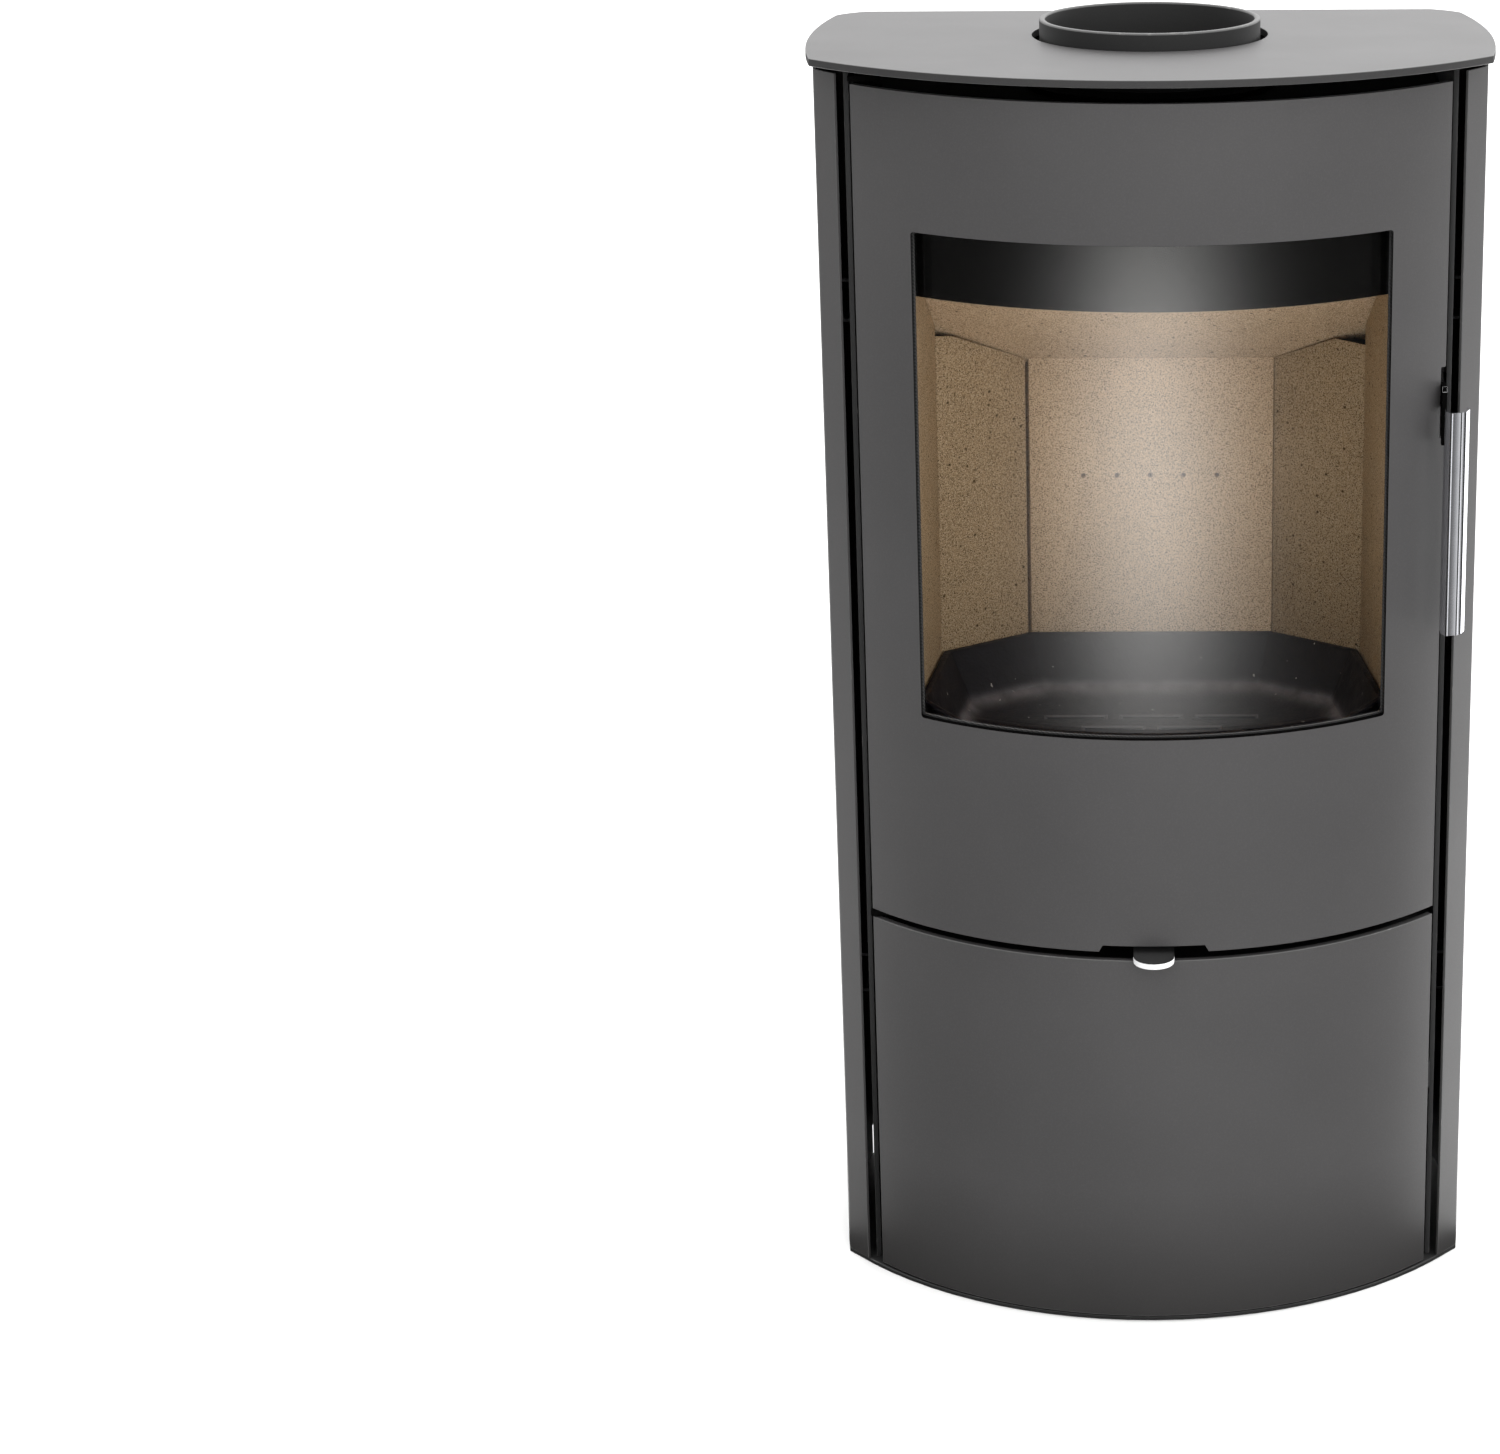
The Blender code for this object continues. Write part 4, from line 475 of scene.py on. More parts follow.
# Material helpers
class Graph:
    """A node tree, written one node per line."""

    def __init__(self, owner, shader, place):
        owner.use_nodes = True
        self.tree = owner.node_tree
        self.shader = self.tree.nodes[shader]
        self.place = self.tree.nodes.new("ShaderNodeTexCoord").outputs[place]

    def set(self, label, value):
        socket = self.shader.inputs[label]
        if isinstance(value, bpy.types.NodeSocket):
            self.tree.links.new(value, socket)
        elif socket.type == "RGBA":
            socket.default_value = (*value, 1.0)
        else:
            socket.default_value = value

    def node(self, kind, settings=None, **inputs):
        made = self.tree.nodes.new("ShaderNode" + kind)
        for key, value in (settings or {}).items():
            setattr(made, key, value)
        for label, value in inputs.items():
            socket = made.inputs[label.replace("_", " ")]
            if isinstance(value, bpy.types.NodeSocket):
                self.tree.links.new(value, socket)
            else:
                socket.default_value = value
        return made

    def noise(self, scale, detail=3.0, roughness=0.5, place=None):
        sockets = {"Scale": scale, "Detail": detail, "Roughness": roughness}
        return self.node("TexNoise", Vector=place or self.place, **sockets).outputs["Fac"]

    def stretched(self, scale):
        return self.node("Mapping", Vector=self.place, Scale=scale).outputs["Vector"]

    def ramp(self, value, *stops):
        """Colour ramp; each stop is (place, colour)."""
        made = self.node("ValToRGB", Fac=value)
        elements = made.color_ramp.elements
        while len(elements) < len(stops):
            elements.new(0.5)
        for element, (place, colour) in zip(elements, stops):
            element.position = place
            element.color = (*colour, 1.0)
        return made.outputs["Color"]

    def spread(self, value, low, high, start=0.0, end=1.0):
        """Map start..end to low..high, held at both ends."""
        made = self.node("MapRange", Value=value, From_Min=start, From_Max=end, To_Min=low, To_Max=high)
        return made.outputs["Result"]

    def mix(self, share, first, second):
        made = self.node("Mix", {"data_type": "RGBA"})
        sockets = {s.identifier: s for s in made.inputs}
        for key, value in (("Factor_Float", share), ("A_Color", first), ("B_Color", second)):
            if isinstance(value, bpy.types.NodeSocket):
                self.tree.links.new(value, sockets[key])
            else:
                sockets[key].default_value = (*value, 1.0)
        return next(s for s in made.outputs if s.identifier == "Result_Color")

    def math(self, operation, first, second=0.5):
        made = self.node("Math", {"operation": operation})
        for socket, value in zip(made.inputs, (first, second)):
            if isinstance(value, bpy.types.NodeSocket):
                self.tree.links.new(value, socket)
            else:
                socket.default_value = value
        return made.outputs["Value"]

    def chain(self, operation, *parts):
        """One operation run along several values."""
        result = parts[0]
        for part in parts[1:]:
            result = self.math(operation, result, part)
        return result

    def bump(self, height, strength, distance, below=None):
        made = self.node("Bump", Height=height, Strength=strength, Distance=distance)
        if below is not None:
            self.tree.links.new(below, made.inputs["Normal"])
        return made.outputs["Normal"]

    def hump(self, value, centre, width):
        """Bell curve: 1 at the centre."""
        part = self.math("DIVIDE", self.math("SUBTRACT", value, centre), width)
        return self.math("EXPONENT", self.chain("MULTIPLY", part, part, -1.0))

    def along(self, axis):
        return self.node("SeparateXYZ", Vector=self.place).outputs[axis]


class Recipe(Graph):
    """A material with a Principled shader."""

    def __init__(self, name, **sockets):
        self.material = bpy.data.materials.new(name)
        super().__init__(self.material, "Principled BSDF", "Object")
        for label, value in sockets.items():
            self.set(label.replace("_", " "), value)


def stove_paint(name, dark, light, roughness, grain=0.35, foot=1.0, gloss=0.5):
    """Sprayed heat-proof paint: fine grain, faint clouds, uneven gloss, and, where foot is under 1, painted
    shade darkening it towards the floor.
    """
    r = Recipe(name, Metallic=0.0, IOR=1.5, Specular_IOR_Level=gloss)
    clouds = r.noise(4.0, 4.0, 0.55)
    speck = r.noise(900.0, 2.0, 0.6)
    colour = r.ramp(clouds, (0.30, dark), (0.70, light))
    colour = r.mix(r.spread(speck, 0.0, 0.22, 0.45, 0.75), colour, tuple(min(1.0, c * 1.7) for c in light))
    # Painted shade: the colour darkens over the lowest 100 mm towards the floor, standing in for the shade
    # at the stove's foot
    if foot < 1.0:
        shade = r.spread(r.along("Z"), 1.0 - foot, 0.0, 0.0, 0.10)
        colour = r.mix(shade, colour, (0.010, 0.009, 0.008))
    r.set("Base Color", colour)
    rough = r.spread(r.noise(14.0, 3.0), roughness - 0.03, roughness + 0.04)
    r.set("Roughness", rough)
    fine = r.bump(r.noise(2600.0, 2.0, 0.7), grain, 0.00006)
    r.set("Normal", r.bump(r.noise(60.0, 2.0), 0.08, 0.0006, fine))
    return r.material


def worn_edge(name, paint, bare, share):
    """The same paint on an edge, thinner and rubbed light in places."""
    r = Recipe(name, IOR=1.5)
    rub = r.noise(85.0, 4.0, 0.65)
    mask = r.spread(rub, 0.0, 1.0, 0.62 - share, 0.80 - share)
    r.set("Base Color", r.mix(mask, paint, bare))
    r.set("Roughness", r.spread(mask, 0.45, 0.33))
    r.set("Metallic", r.spread(mask, 0.0, 0.55))
    r.set("Normal", r.bump(r.noise(1800.0, 2.0), 0.2, 0.00006))
    return r.material


def vermiculite_board(name, base, deep, fleck, light):
    """Pressed vermiculite: tan, peppered with dark and golden flakes, with a fine pitted face."""
    r = Recipe(name, Roughness=0.92, Specular_IOR_Level=0.2)
    clouds = r.noise(9.0, 4.0, 0.6)
    colour = r.ramp(clouds, (0.32, deep), (0.68, base))
    colour = r.mix(r.spread(r.noise(1050.0, 1.0, 0.7), 0.0, 0.85, 0.50, 0.64), colour, light)
    apart = r.node("Mapping", Vector=r.place, Location=(3.7, 1.9, 5.3)).outputs["Vector"]
    pepper = r.noise(1100.0, 1.0, 0.75, apart)
    colour = r.mix(r.spread(pepper, 0.0, 0.9, 0.53, 0.64), colour, fleck)
    flakes = r.node("TexVoronoi", Vector=r.place, Scale=240.0, Randomness=1.0)
    chosen = r.spread(flakes.outputs["Color"], 0.0, 1.0, 0.78, 0.82)
    near = r.spread(flakes.outputs["Distance"], 1.0, 0.0, 0.14, 0.34)
    spots = r.math("MULTIPLY", chosen, near)
    colour = r.mix(r.math("MULTIPLY", spots, 0.9), colour, tuple(c * 0.4 for c in fleck))
    r.set("Base Color", colour)
    rough = r.bump(r.noise(620.0, 3.0, 0.7), 0.5, 0.0005)
    r.set("Normal", r.bump(spots, 0.3, 0.0004, rough))
    return r.material


def rough_casting(name, dark, light, fillet_highlight_colour, fillet=None):
    """Black cast iron: pebbled skin, a few pale specks of ash, and a painted highlight along its fillet."""
    r = Recipe(name, Metallic=0.0, IOR=1.5, Specular_IOR_Level=0.22)
    patches = r.noise(30.0, 4.0, 0.6)
    colour = r.ramp(patches, (0.30, dark), (0.72, light))
    if fillet is not None:
        # Painted highlight: a pale band at the fillet's height, broken up by noise
        band = r.hump(r.along("Z"), fillet, 0.0036)
        fillet_highlight_breakup = r.spread(r.noise(55.0), 0.4, 1.0, 0.3, 0.7)
        colour = r.mix(r.math("MULTIPLY", band, fillet_highlight_breakup), colour, fillet_highlight_colour)
    ash = r.noise(260.0, 1.0, 0.5)
    colour = r.mix(r.spread(ash, 0.0, 0.8, 0.765, 0.80), colour, (0.42, 0.41, 0.40))
    r.set("Base Color", colour)
    r.set("Roughness", r.spread(r.noise(90.0, 3.0), 0.40, 0.62))
    pebbles = r.node("TexVoronoi", Vector=r.place, Scale=420.0).outputs["Distance"]
    skin = r.bump(pebbles, 0.25, 0.0006)
    r.set("Normal", r.bump(r.noise(130.0, 4.0, 0.7), 0.5, 0.0012, skin))
    return r.material


def polished_metal(name, tint, roughness, streak):
    """Plated or polished metal with faint drawing lines along its length."""
    r = Recipe(name, Metallic=1.0)
    lines = r.noise(1.0, 3.0, 0.6, r.stretched((2600.0, 2600.0, 30.0)))
    r.set("Base Color", r.ramp(r.noise(40.0), (0.3, tuple(c * 0.93 for c in tint)), (0.7, tint)))
    r.set("Roughness", r.spread(r.noise(70.0, 3.0), roughness, roughness * 1.6))
    r.set("Normal", r.bump(lines, streak, 0.00004))
    return r.material


def plain_steel(name, dark, light, roughness, metallic):
    """Mill-finish sheet steel or zinc plate: mottled, with short scratches."""
    r = Recipe(name)
    mottle = r.noise(45.0, 4.0, 0.6)
    r.set("Base Color", r.ramp(mottle, (0.3, dark), (0.7, light)))
    r.set("Metallic", metallic)
    r.set("Roughness", r.spread(r.noise(120.0, 3.0), roughness - 0.06, roughness + 0.10))
    scratches = r.noise(1.0, 2.0, 0.6, r.stretched((90.0, 1900.0, 1900.0)))
    r.set("Normal", r.bump(scratches, 0.15, 0.0001))
    return r.material


def clear_glass(name):
    """Ceramic glass as a clear pane: it mirrors a little face on and more at a slant."""
    r = Recipe(name)
    clear = r.node("BsdfTransparent")
    film = r.noise(9.0, 4.0, 0.6)
    tint = r.ramp(film, (0.3, (0.93, 0.92, 0.90)), (0.7, (0.98, 0.975, 0.965)))
    r.tree.links.new(tint, clear.inputs["Color"])
    mirror = r.node("BsdfGlossy", Roughness=r.spread(film, 0.0, 0.006))
    slant = r.math("POWER", r.node("LayerWeight", Blend=0.5).outputs["Facing"], 5.0)
    pane = r.node("MixShader", Fac=r.spread(slant, PANE_MIRROR, 1.0))
    r.tree.links.new(clear.outputs["BSDF"], pane.inputs[1])
    r.tree.links.new(mirror.outputs["BSDF"], pane.inputs[2])
    r.tree.links.new(pane.outputs["Shader"], r.tree.nodes["Material Output"].inputs["Surface"])
    r.tree.nodes.remove(r.shader)
    return r.material


def woven_rope(name, dark, light):
    """Black glass-fibre braid."""
    r = Recipe(name, Roughness=0.95, Sheen_Weight=0.2)
    one = r.node("TexWave", {"bands_direction": "DIAGONAL"}, Vector=r.place, Scale=260.0, Distortion=1.5)
    r.set("Base Color", r.ramp(one.outputs["Fac"], (0.2, dark), (0.9, light)))
    r.set("Normal", r.bump(one.outputs["Fac"], 0.6, 0.0004))
    return r.material


def studio_floor(name):
    """Matt pale floor with a faint cloudiness."""
    r = Recipe(name, Roughness=0.85)
    r.set("Base Color", r.ramp(r.noise(1.5, 2.0), (0.3, (0.90, 0.90, 0.90)), (0.7, (0.93, 0.93, 0.925))))
    return r.material


def make_materials():
    """Every finish, by a short name."""
    grey_dark, grey_light = (0.0430, 0.0416, 0.0420), (0.0520, 0.0503, 0.0508)
    black_dark, black_light = (0.012, 0.012, 0.012), (0.020, 0.020, 0.020)
    return {
        # The grey paint takes painted shade over its lowest 100 mm
        "grey": stove_paint("grey_stove_paint", grey_dark, grey_light, 0.46, foot=0.42),
        "grey_edge": worn_edge("grey_paint_edge", (0.072, 0.072, 0.071), (0.22, 0.216, 0.21), 0.03),
        # Darker copy of the grey paint for the top plate's upright rim: painted shade
        "rim_shade_paint": stove_paint("plate_rim_painted_shade", (0.024, 0.0235, 0.0235), (0.030, 0.0292, 0.0295), 0.5),
        "dark": stove_paint("dark_stove_paint", black_dark, black_light, 0.55),
        "dark_edge": worn_edge("dark_paint_edge", (0.030, 0.030, 0.030), (0.16, 0.16, 0.155), 0.04),
        "band": stove_paint(
            "glossy_black_paint", (0.003, 0.003, 0.003), (0.004, 0.004, 0.004), 0.16, grain=0.05
        ),
        "board": vermiculite_board(
            "vermiculite_board",
            base=(0.50, 0.368, 0.23),
            deep=(0.41, 0.298, 0.182),
            fleck=(0.10, 0.065, 0.033),
            light=(0.68, 0.54, 0.37),
        ),
        # A lighter copy of the board for the back board and the baffle: painted light where they catch more
        # light
        "board_lit": vermiculite_board(
            "painted_light_vermiculite",
            base=(0.76, 0.570, 0.385),
            deep=(0.66, 0.490, 0.322),
            fleck=(0.15, 0.10, 0.055),
            light=(0.92, 0.74, 0.54),
        ),
        "iron": rough_casting(
            "rough_cast_iron",
            dark=(0.0030, 0.0024, 0.0060),
            light=(0.0065, 0.0055, 0.0105),
            fillet_highlight_colour=(0.18, 0.173, 0.195),
            fillet=BASIN_FILLET,
        ),
        # Lighter iron for the rounded edges of the basin's floor slots: painted highlight
        "iron_lit_edge": rough_casting(
            "cast_iron_painted_highlight",
            dark=(0.045, 0.043, 0.050),
            light=(0.12, 0.116, 0.128),
            fillet_highlight_colour=(0.17, 0.165, 0.18),
        ),
        # Near-black, dull finish for parts seen only in gaps and slots: painted shade
        "shade_black": stove_paint(
            "painted_shade_black_steel", (0.0008, 0.0008, 0.0008), (0.0020, 0.0019, 0.0018), 0.95, gloss=0.03
        ),
        "chrome": polished_metal("polished_chrome", (0.93, 0.94, 0.985), 0.12, 0.10),
        "steel": plain_steel("mill_sheet_steel", (0.07, 0.07, 0.072), (0.12, 0.12, 0.122), 0.42, 0.7),
        "zinc": plain_steel("zinc_plated_steel", (0.52, 0.52, 0.50), (0.68, 0.68, 0.66), 0.24, 1.0),
        "glass": clear_glass("clear_ceramic_glass"),
        "rope": woven_rope("black_braid", (0.006, 0.006, 0.006), (0.022, 0.022, 0.022)),
        "lever": stove_paint("lever_finish", (0.020, 0.020, 0.020), (0.028, 0.028, 0.028), 0.6, gloss=0.2),
        # Light bare-metal finish that also stands for glints: painted highlight
        "bare_edge_highlight": plain_steel("bare_edge_painted_highlight", (0.78, 0.78, 0.78), (0.88, 0.88, 0.88), 0.5, 0.2),
        "collar": stove_paint("collar_paint", (0.010, 0.010, 0.010), (0.014, 0.014, 0.014), 0.5, gloss=0.3),
        "magnet": stove_paint("magnet_housing", (0.020, 0.020, 0.021), (0.030, 0.030, 0.031), 0.5),
    }


# The stove's pieces
def window_outline():
    """The door's window as (x, z)."""
    corners = [
        (-WINDOW_HALF, WINDOW_LOW),
        (WINDOW_HALF, WINDOW_LOW),
        (WINDOW_HALF, WINDOW_TOP),
        (-WINDOW_HALF, WINDOW_TOP),
    ]
    return rounded(corners, WINDOW_CORNER, 4)


def make_fire_door(m):
    """Bowed sheet with its window, a notch over the air lever and one beside the handle."""
    low, high = DOOR_LOW[2], DOOR_HIGH[2]
    door = link("door_sheet", bent_plate(DOOR_RADIUS, DOOR_RADIUS - SHEET, low, high, DOOR_ANGLE))
    cut_front = DOOR_LOW[1] - CUT
    cut_out(door, prism(window_outline(), "y", cut_front, arc_y(WINDOW_HALF, DOOR_BACK) + CUT))
    tip = NOTCH_HALF - NOTCH_TAPER
    right = [(NOTCH_HALF, low - CUT), (NOTCH_HALF, low), (tip, low + NOTCH_RISE)]
    cut_out(door, prism(right + mirrored(right), "y", cut_front, arc_y(NOTCH_HALF, DOOR_BACK) + CUT))
    edge_y = arc_y(DOOR_HALF, DOOR_RADIUS)
    corner = (HANDLE_NOTCH_X, edge_y - CUT, HANDLE_NOTCH_LOW)
    cut_out(door, box_mesh(corner, (HANDLE_NOTCH_X + CUT, edge_y + 2 * CUT, HANDLE_NOTCH_TOP)))
    finish(door, "fire_door", [m["grey"], m["grey_edge"]], ["fire_door_panel"], SHEET_EDGE, 3)
    # The cut faces of the window are painted black as shade, whatever the edge's rounding made of them
    door.data.materials.append(m["shade_black"])
    rim = []
    for vertex in door.data.vertices:
        beside = abs(vertex.co.x) < WINDOW_HALF + RIM
        rim.append(beside and WINDOW_LOW - RIM < vertex.co.z < WINDOW_TOP + RIM)
    for face in door.data.polygons:
        if all(rim[index] for index in face.vertices):
            face.material_index = 2


def make_store_door(m):
    """Bowed sheet of the lower door."""
    low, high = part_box("store_door_panel")
    mesh = bent_plate(DOOR_RADIUS, DOOR_RADIUS - SHEET, low[2], high[2], DOOR_ANGLE)
    door = link("store_door_sheet", mesh)
    finish(door, "store_door", [m["grey"], m["grey_edge"]], ["store_door_panel"], SHEET_EDGE, 3)


def make_top_plate(m):
    """Plate with a bowed front, bowed sides, slanted back corners and a hole for the collar."""
    low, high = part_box("top_plate")
    centre = low[1] + PLATE_FRONT_RADIUS
    # Where the front's arc meets the side's, found by going from one to the other
    corner_y = row(PLATE_FRONT_RADIUS / 3)
    for _ in range(MEETING_ROUNDS):
        corner_y = arc_y(side_x(corner_y), PLATE_FRONT_RADIUS, centre)
    corner_x = side_x(corner_y)
    right = side_points(corner_y, high[1] - PLATE_CORNER_DEPTH)[1:]
    start = Vector(right[-1])
    end = Vector((high[0] - PLATE_CORNER_WIDTH, high[1]))
    across = (end - start).normalized()
    outward = Vector((across.y, -across.x))
    for step in range(1, PLATE_CORNER_STEPS):
        share = step / PLATE_CORNER_STEPS
        right.append(tuple(start.lerp(end, share) + outward * (PLATE_CORNER_BOW * swell(share))))
    right.append(tuple(end))
    front = front_arc(PLATE_FRONT_RADIUS, centre, -corner_x, corner_x)
    plate = link("top_sheet", prism(front + right + mirrored(right), "z", low[2], high[2]))
    hole = lathe([(PLATE_HOLE, low[2] - CUT), (PLATE_HOLE, high[2] + CUT)], FLUE_FACETS)
    cut_out(plate, moved(hole, (0.0, COLLAR_CENTRE, 0.0)))
    finish(plate, "root", [m["grey"], m["rim_shade_paint"], m["grey_edge"]], ["top_plate"], SHEET_EDGE, 3)
    # The plate's upright faces take the darker paint: painted shade
    for face in plate.data.polygons:
        if abs(face.normal.z) < UPRIGHT:
            face.material_index = 1


def make_flue_collar(m):
    """Turned ring with a flange and a softened lip."""
    bottom, top, flange = COLLAR_LOW[2], COLLAR_HIGH[2], COLLAR_HIGH[0]
    bore, outer, lip = COLLAR_BORE, COLLAR_OUTER, COLLAR_LIP
    profile = [
        (bore, bottom),
        (flange, bottom),
        (flange, bottom + COLLAR_FLANGE),
        (outer + COLLAR_FOOT, bottom + COLLAR_FLANGE),
        (outer, bottom + COLLAR_FOOT_TOP),
        (outer, top - lip),
        (outer - lip * 0.3, top - lip * 0.3),
        (outer - lip, top),
        (bore + lip, top),
        (bore + lip * 0.3, top - lip * 0.3),
        (bore, top - lip),
    ]
    mesh = bent(profile, 0.0, 2 * math.pi, 2 * math.pi / FLUE_FACETS, (0.0, COLLAR_CENTRE))
    ring = link("flue_ring", mesh)
    finish(ring, "root", [m["collar"], m["grey_edge"], m["shade_black"]], ["flue_collar"], edge=0)
    for face in ring.data.polygons:
        if face.center.z > top - lip and face.normal.z > UPRIGHT:
            face.material_index = 1
        # The flange beyond the collar's wall is painted black as shade
        elif math.hypot(face.center.x, face.center.y - COLLAR_CENTRE) > outer + COLLAR_WALL_SPREAD:
            face.material_index = 2


def make_side_panels(m):
    """Bent side sheets, notched at the foot of their back."""
    bow = side_points(row(SIDE_BOW_START), row(SIDE_BOW_END), SIDE_INSET)
    path = [(SIDE_FRONT[0], row(SIDE_FRONT[1])), *bow, (SIDE_BACK[0], row(SIDE_BACK[1]))]
    outer = rounded(path, SIDE_FOLD, 6, closed=False)
    inner = offset_path(outer, -SIDE_SHEET)
    for side, sign in (("left", -1), ("right", 1)):
        node = f"side_panel_{side}"
        low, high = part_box(node)
        outline = [(sign * x, y) for x, y in outer + inner[::-1]]
        panel = link(f"{side}_side_sheet", prism(outline, "z", low[2], high[2]))
        near, far = sorted(sign * x for x in FOOT_NOTCH_X)
        notch_low = (near, row(FOOT_NOTCH_Y[0]), -CUT)
        cut_out(panel, box_mesh(notch_low, (far, row(FOOT_NOTCH_Y[1]), FOOT_NOTCH_TOP)))
        finish(panel, "root", [m["grey"], m["grey_edge"]], [node], THIN_EDGE, 2, FOLD_LIMIT)


def make_body_sheets(m):
    """Walls and base beside the doors, and the plates of the hinges."""
    for node in ("body_wall_left", "body_wall_right", "body_back_wall", "base_plate"):
        finish_copy(node, [m["dark"], m["dark_edge"]])
    # The hinge plates are painted black as shade
    for node in ("hinge_plate_middle", "hinge_plate_top"):
        finish_copy(node, m["shade_black"])


def make_firebox(m):
    """Lining boards, baffle and cast basin."""
    for node in ("lining_left", "lining_right"):
        finish_copy(node, m["board"], BOARD_EDGE)
    # The back board and the baffle take the lighter copy of the board: painted light
    for node in ("lining_back", "baffle_plate"):
        finish_copy(node, m["board_lit"], BOARD_EDGE)
    for node, sign, start, drop in REAR_WEDGES:
        wedge_copy(node, m["board"], m["shade_black"], sign, start, drop)
    # The basin's rounded edges take the lighter iron as painted highlight; faces above the floor's slots
    # keep the plain iron
    basin = finish_copy("fire_basin", [m["iron"], m["iron_lit_edge"]], CAST_EDGE)
    for face in basin.data.polygons:
        if face.center.z > BASIN_SLOTS:
            face.material_index = 0


def wedge_copy(node, board, shade_black, sign, start, drop):
    """A slanted board whose outer top corner is cut low, with the cut top painted black as shade, so a dark
    wedge shows under the baffle.
    """
    low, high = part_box(node)
    inner, outer = sorted((abs(low[0]), abs(high[0])))
    front_end = outer - REAR_BOARD_RETURN
    top = high[2] - REAR_BOARD_FALL * (front_end - start) / (front_end - inner)
    slope = (high[2] - drop - top) / (front_end - start)
    end, above = outer + CUT, high[2] + CUT
    wedge = [(start, top), (end, top + slope * (end - start)), (end, above), (start, above)]
    cut = prism([(sign * x, z) for x, z in wedge], "y", low[1] - CUT, high[1] + CUT)
    made = finish_copy(node, board, BOARD_EDGE, cut)
    made.data.materials.append(shade_black)
    # Painted shade: the cut top takes the black finish
    for face in made.data.polygons:
        if face.normal.z > LEVEL and sign * face.center.x > start:
            face.material_index = 1


def finish_copy(node, finishes, edge=THIN_EDGE, cut=None):
    """A copy of a plain node with its edges rounded, and a shape cut out where one is given."""
    source = frame["nodes"][node]
    mesh = bmesh.new()
    mesh.from_mesh(source.data)
    bmesh.ops.remove_doubles(mesh, verts=mesh.verts, dist=TINY)
    bmesh.ops.dissolve_limit(mesh, angle_limit=math.radians(0.5), verts=mesh.verts, edges=mesh.edges)
    made = link(f"{node}_sheet", mesh)
    if cut is not None:
        cut_out(made, cut)
    return finish(made, body_of(source)[0], finishes, [node], edge, 2)


def make_glass(m):
    """Bent pane, and the folded black sheet that sends air down its inner face."""
    low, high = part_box("door_glass")
    outer = DOOR_BACK - GASKET - GAP
    half = math.asin(PANE_HALF / outer)
    glass = link("curved_glass", bent_plate(outer, outer - PANE, low[2], high[2], half))
    finish(glass, "fire_door", m["glass"], ["door_glass"])
    low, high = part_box("air_wash_strip")
    front = outer - PANE - GAP
    back = front - STRIP
    profile = [
        (DOOR_BACK, high[2]),
        (back, high[2]),
        (back, low[2]),
        (front, low[2]),
        (front, high[2] - STRIP),
        (DOOR_BACK, high[2] - STRIP),
    ]
    strip = link("air_wash_sheet", bent(profile, -half, half))
    finish(strip, "fire_door", [m["band"], m["dark_edge"]], ["air_wash_strip"], THIN_EDGE)


def bar_outline(low, high):
    """Front of the bar's open section, from its back left edge to its back right one."""
    width, depth = high[0] - low[0], high[1] - low[1]
    outline = [(low[0], high[1])]
    for (start_x, start_y), (end_x, end_y) in zip(BAR_RIDGES, BAR_RIDGES[1:]):
        bow = BAR_SWELL if start_x == 0.0 else BAR_HOLLOW
        for step in range(BAR_STEPS):
            share = step / BAR_STEPS
            x = start_x + (end_x - start_x) * share
            y = start_y + (end_y - start_y) * share + bow * swell(share)
            outline.append((low[0] + x * width, low[1] + y * depth))
    outline.append((low[0] + BAR_RIDGES[-1][0] * width, low[1] + BAR_RIDGES[-1][1] * depth))
    outline.append((high[0], high[1]))
    return outline


def make_handle(m):
    """Chrome pull bar, its pivot pin and the latch hook behind it."""
    low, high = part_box("handle_bar")
    outer = bar_outline(low, high)
    inner = offset_path(outer, -BAR_SHEET)
    bar = link("pull_bar", prism(outer + inner[::-1], "z", low[2], high[2]))
    finish(bar, "handle", m["chrome"], ["handle_bar"], THIN_EDGE, 3, FOLD_LIMIT)
    # The pivot pin is light bare metal that also stands for its glint: painted highlight
    finish_copy("handle_pivot_pin", m["bare_edge_highlight"], SHEET_EDGE)
    low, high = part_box("latch_hook")
    foot = box_mesh([c - CUT for c in low], (high[0] + CUT, high[1] + CUT, HOOK_FOOT))
    hook = finish_copy("latch_hook", [m["shade_black"], m["bare_edge_highlight"]], SHEET_EDGE, foot)
    # The hook is painted black as shade, but for faces in front, on the foot's end and up top, which keep
    # the painted highlight
    for face in hook.data.polygons:
        if face.center.y > HOOK_BRIGHT or HOOK_FOOT + HOOK_FOOT_EDGE < face.center.z < HOOK_TOP_EDGE:
            face.material_index = 0


def make_air_lever(m):
    """Flat lever, bare metal on the edge of its nose, made light as a painted highlight, and black
    elsewhere.
    """
    lever = finish_copy("air_lever", [m["lever"], m["bare_edge_highlight"]], EDGE)
    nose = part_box("air_lever")[0][1] + LEVER_NOSE
    # The nose's edge faces take the light finish: bare metal with a painted highlight
    for face in lever.data.polygons:
        face.material_index = int(face.normal.z < LEVER_LEVEL and face.center.y < nose)


def make_rear_screws(m):
    """Domed screws that hold the rear cover to its spacers and to the side sheets."""
    mesh = bmesh.new()
    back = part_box("rear_cover")[1][1]
    for x, z in SCREW_PLACES:
        head = lathe(SCREW_STEPS, SCREW_FACETS)
        moved(head, (x, back, z), Matrix.Rotation(math.radians(-90), 4, "X"))
        data = bpy.data.meshes.new("head")
        head.to_mesh(data)
        head.free()
        mesh.from_mesh(data)
        bpy.data.meshes.remove(data)
    finish(link("rear_cover_screws", mesh), "root", m["zinc"], edge=0)


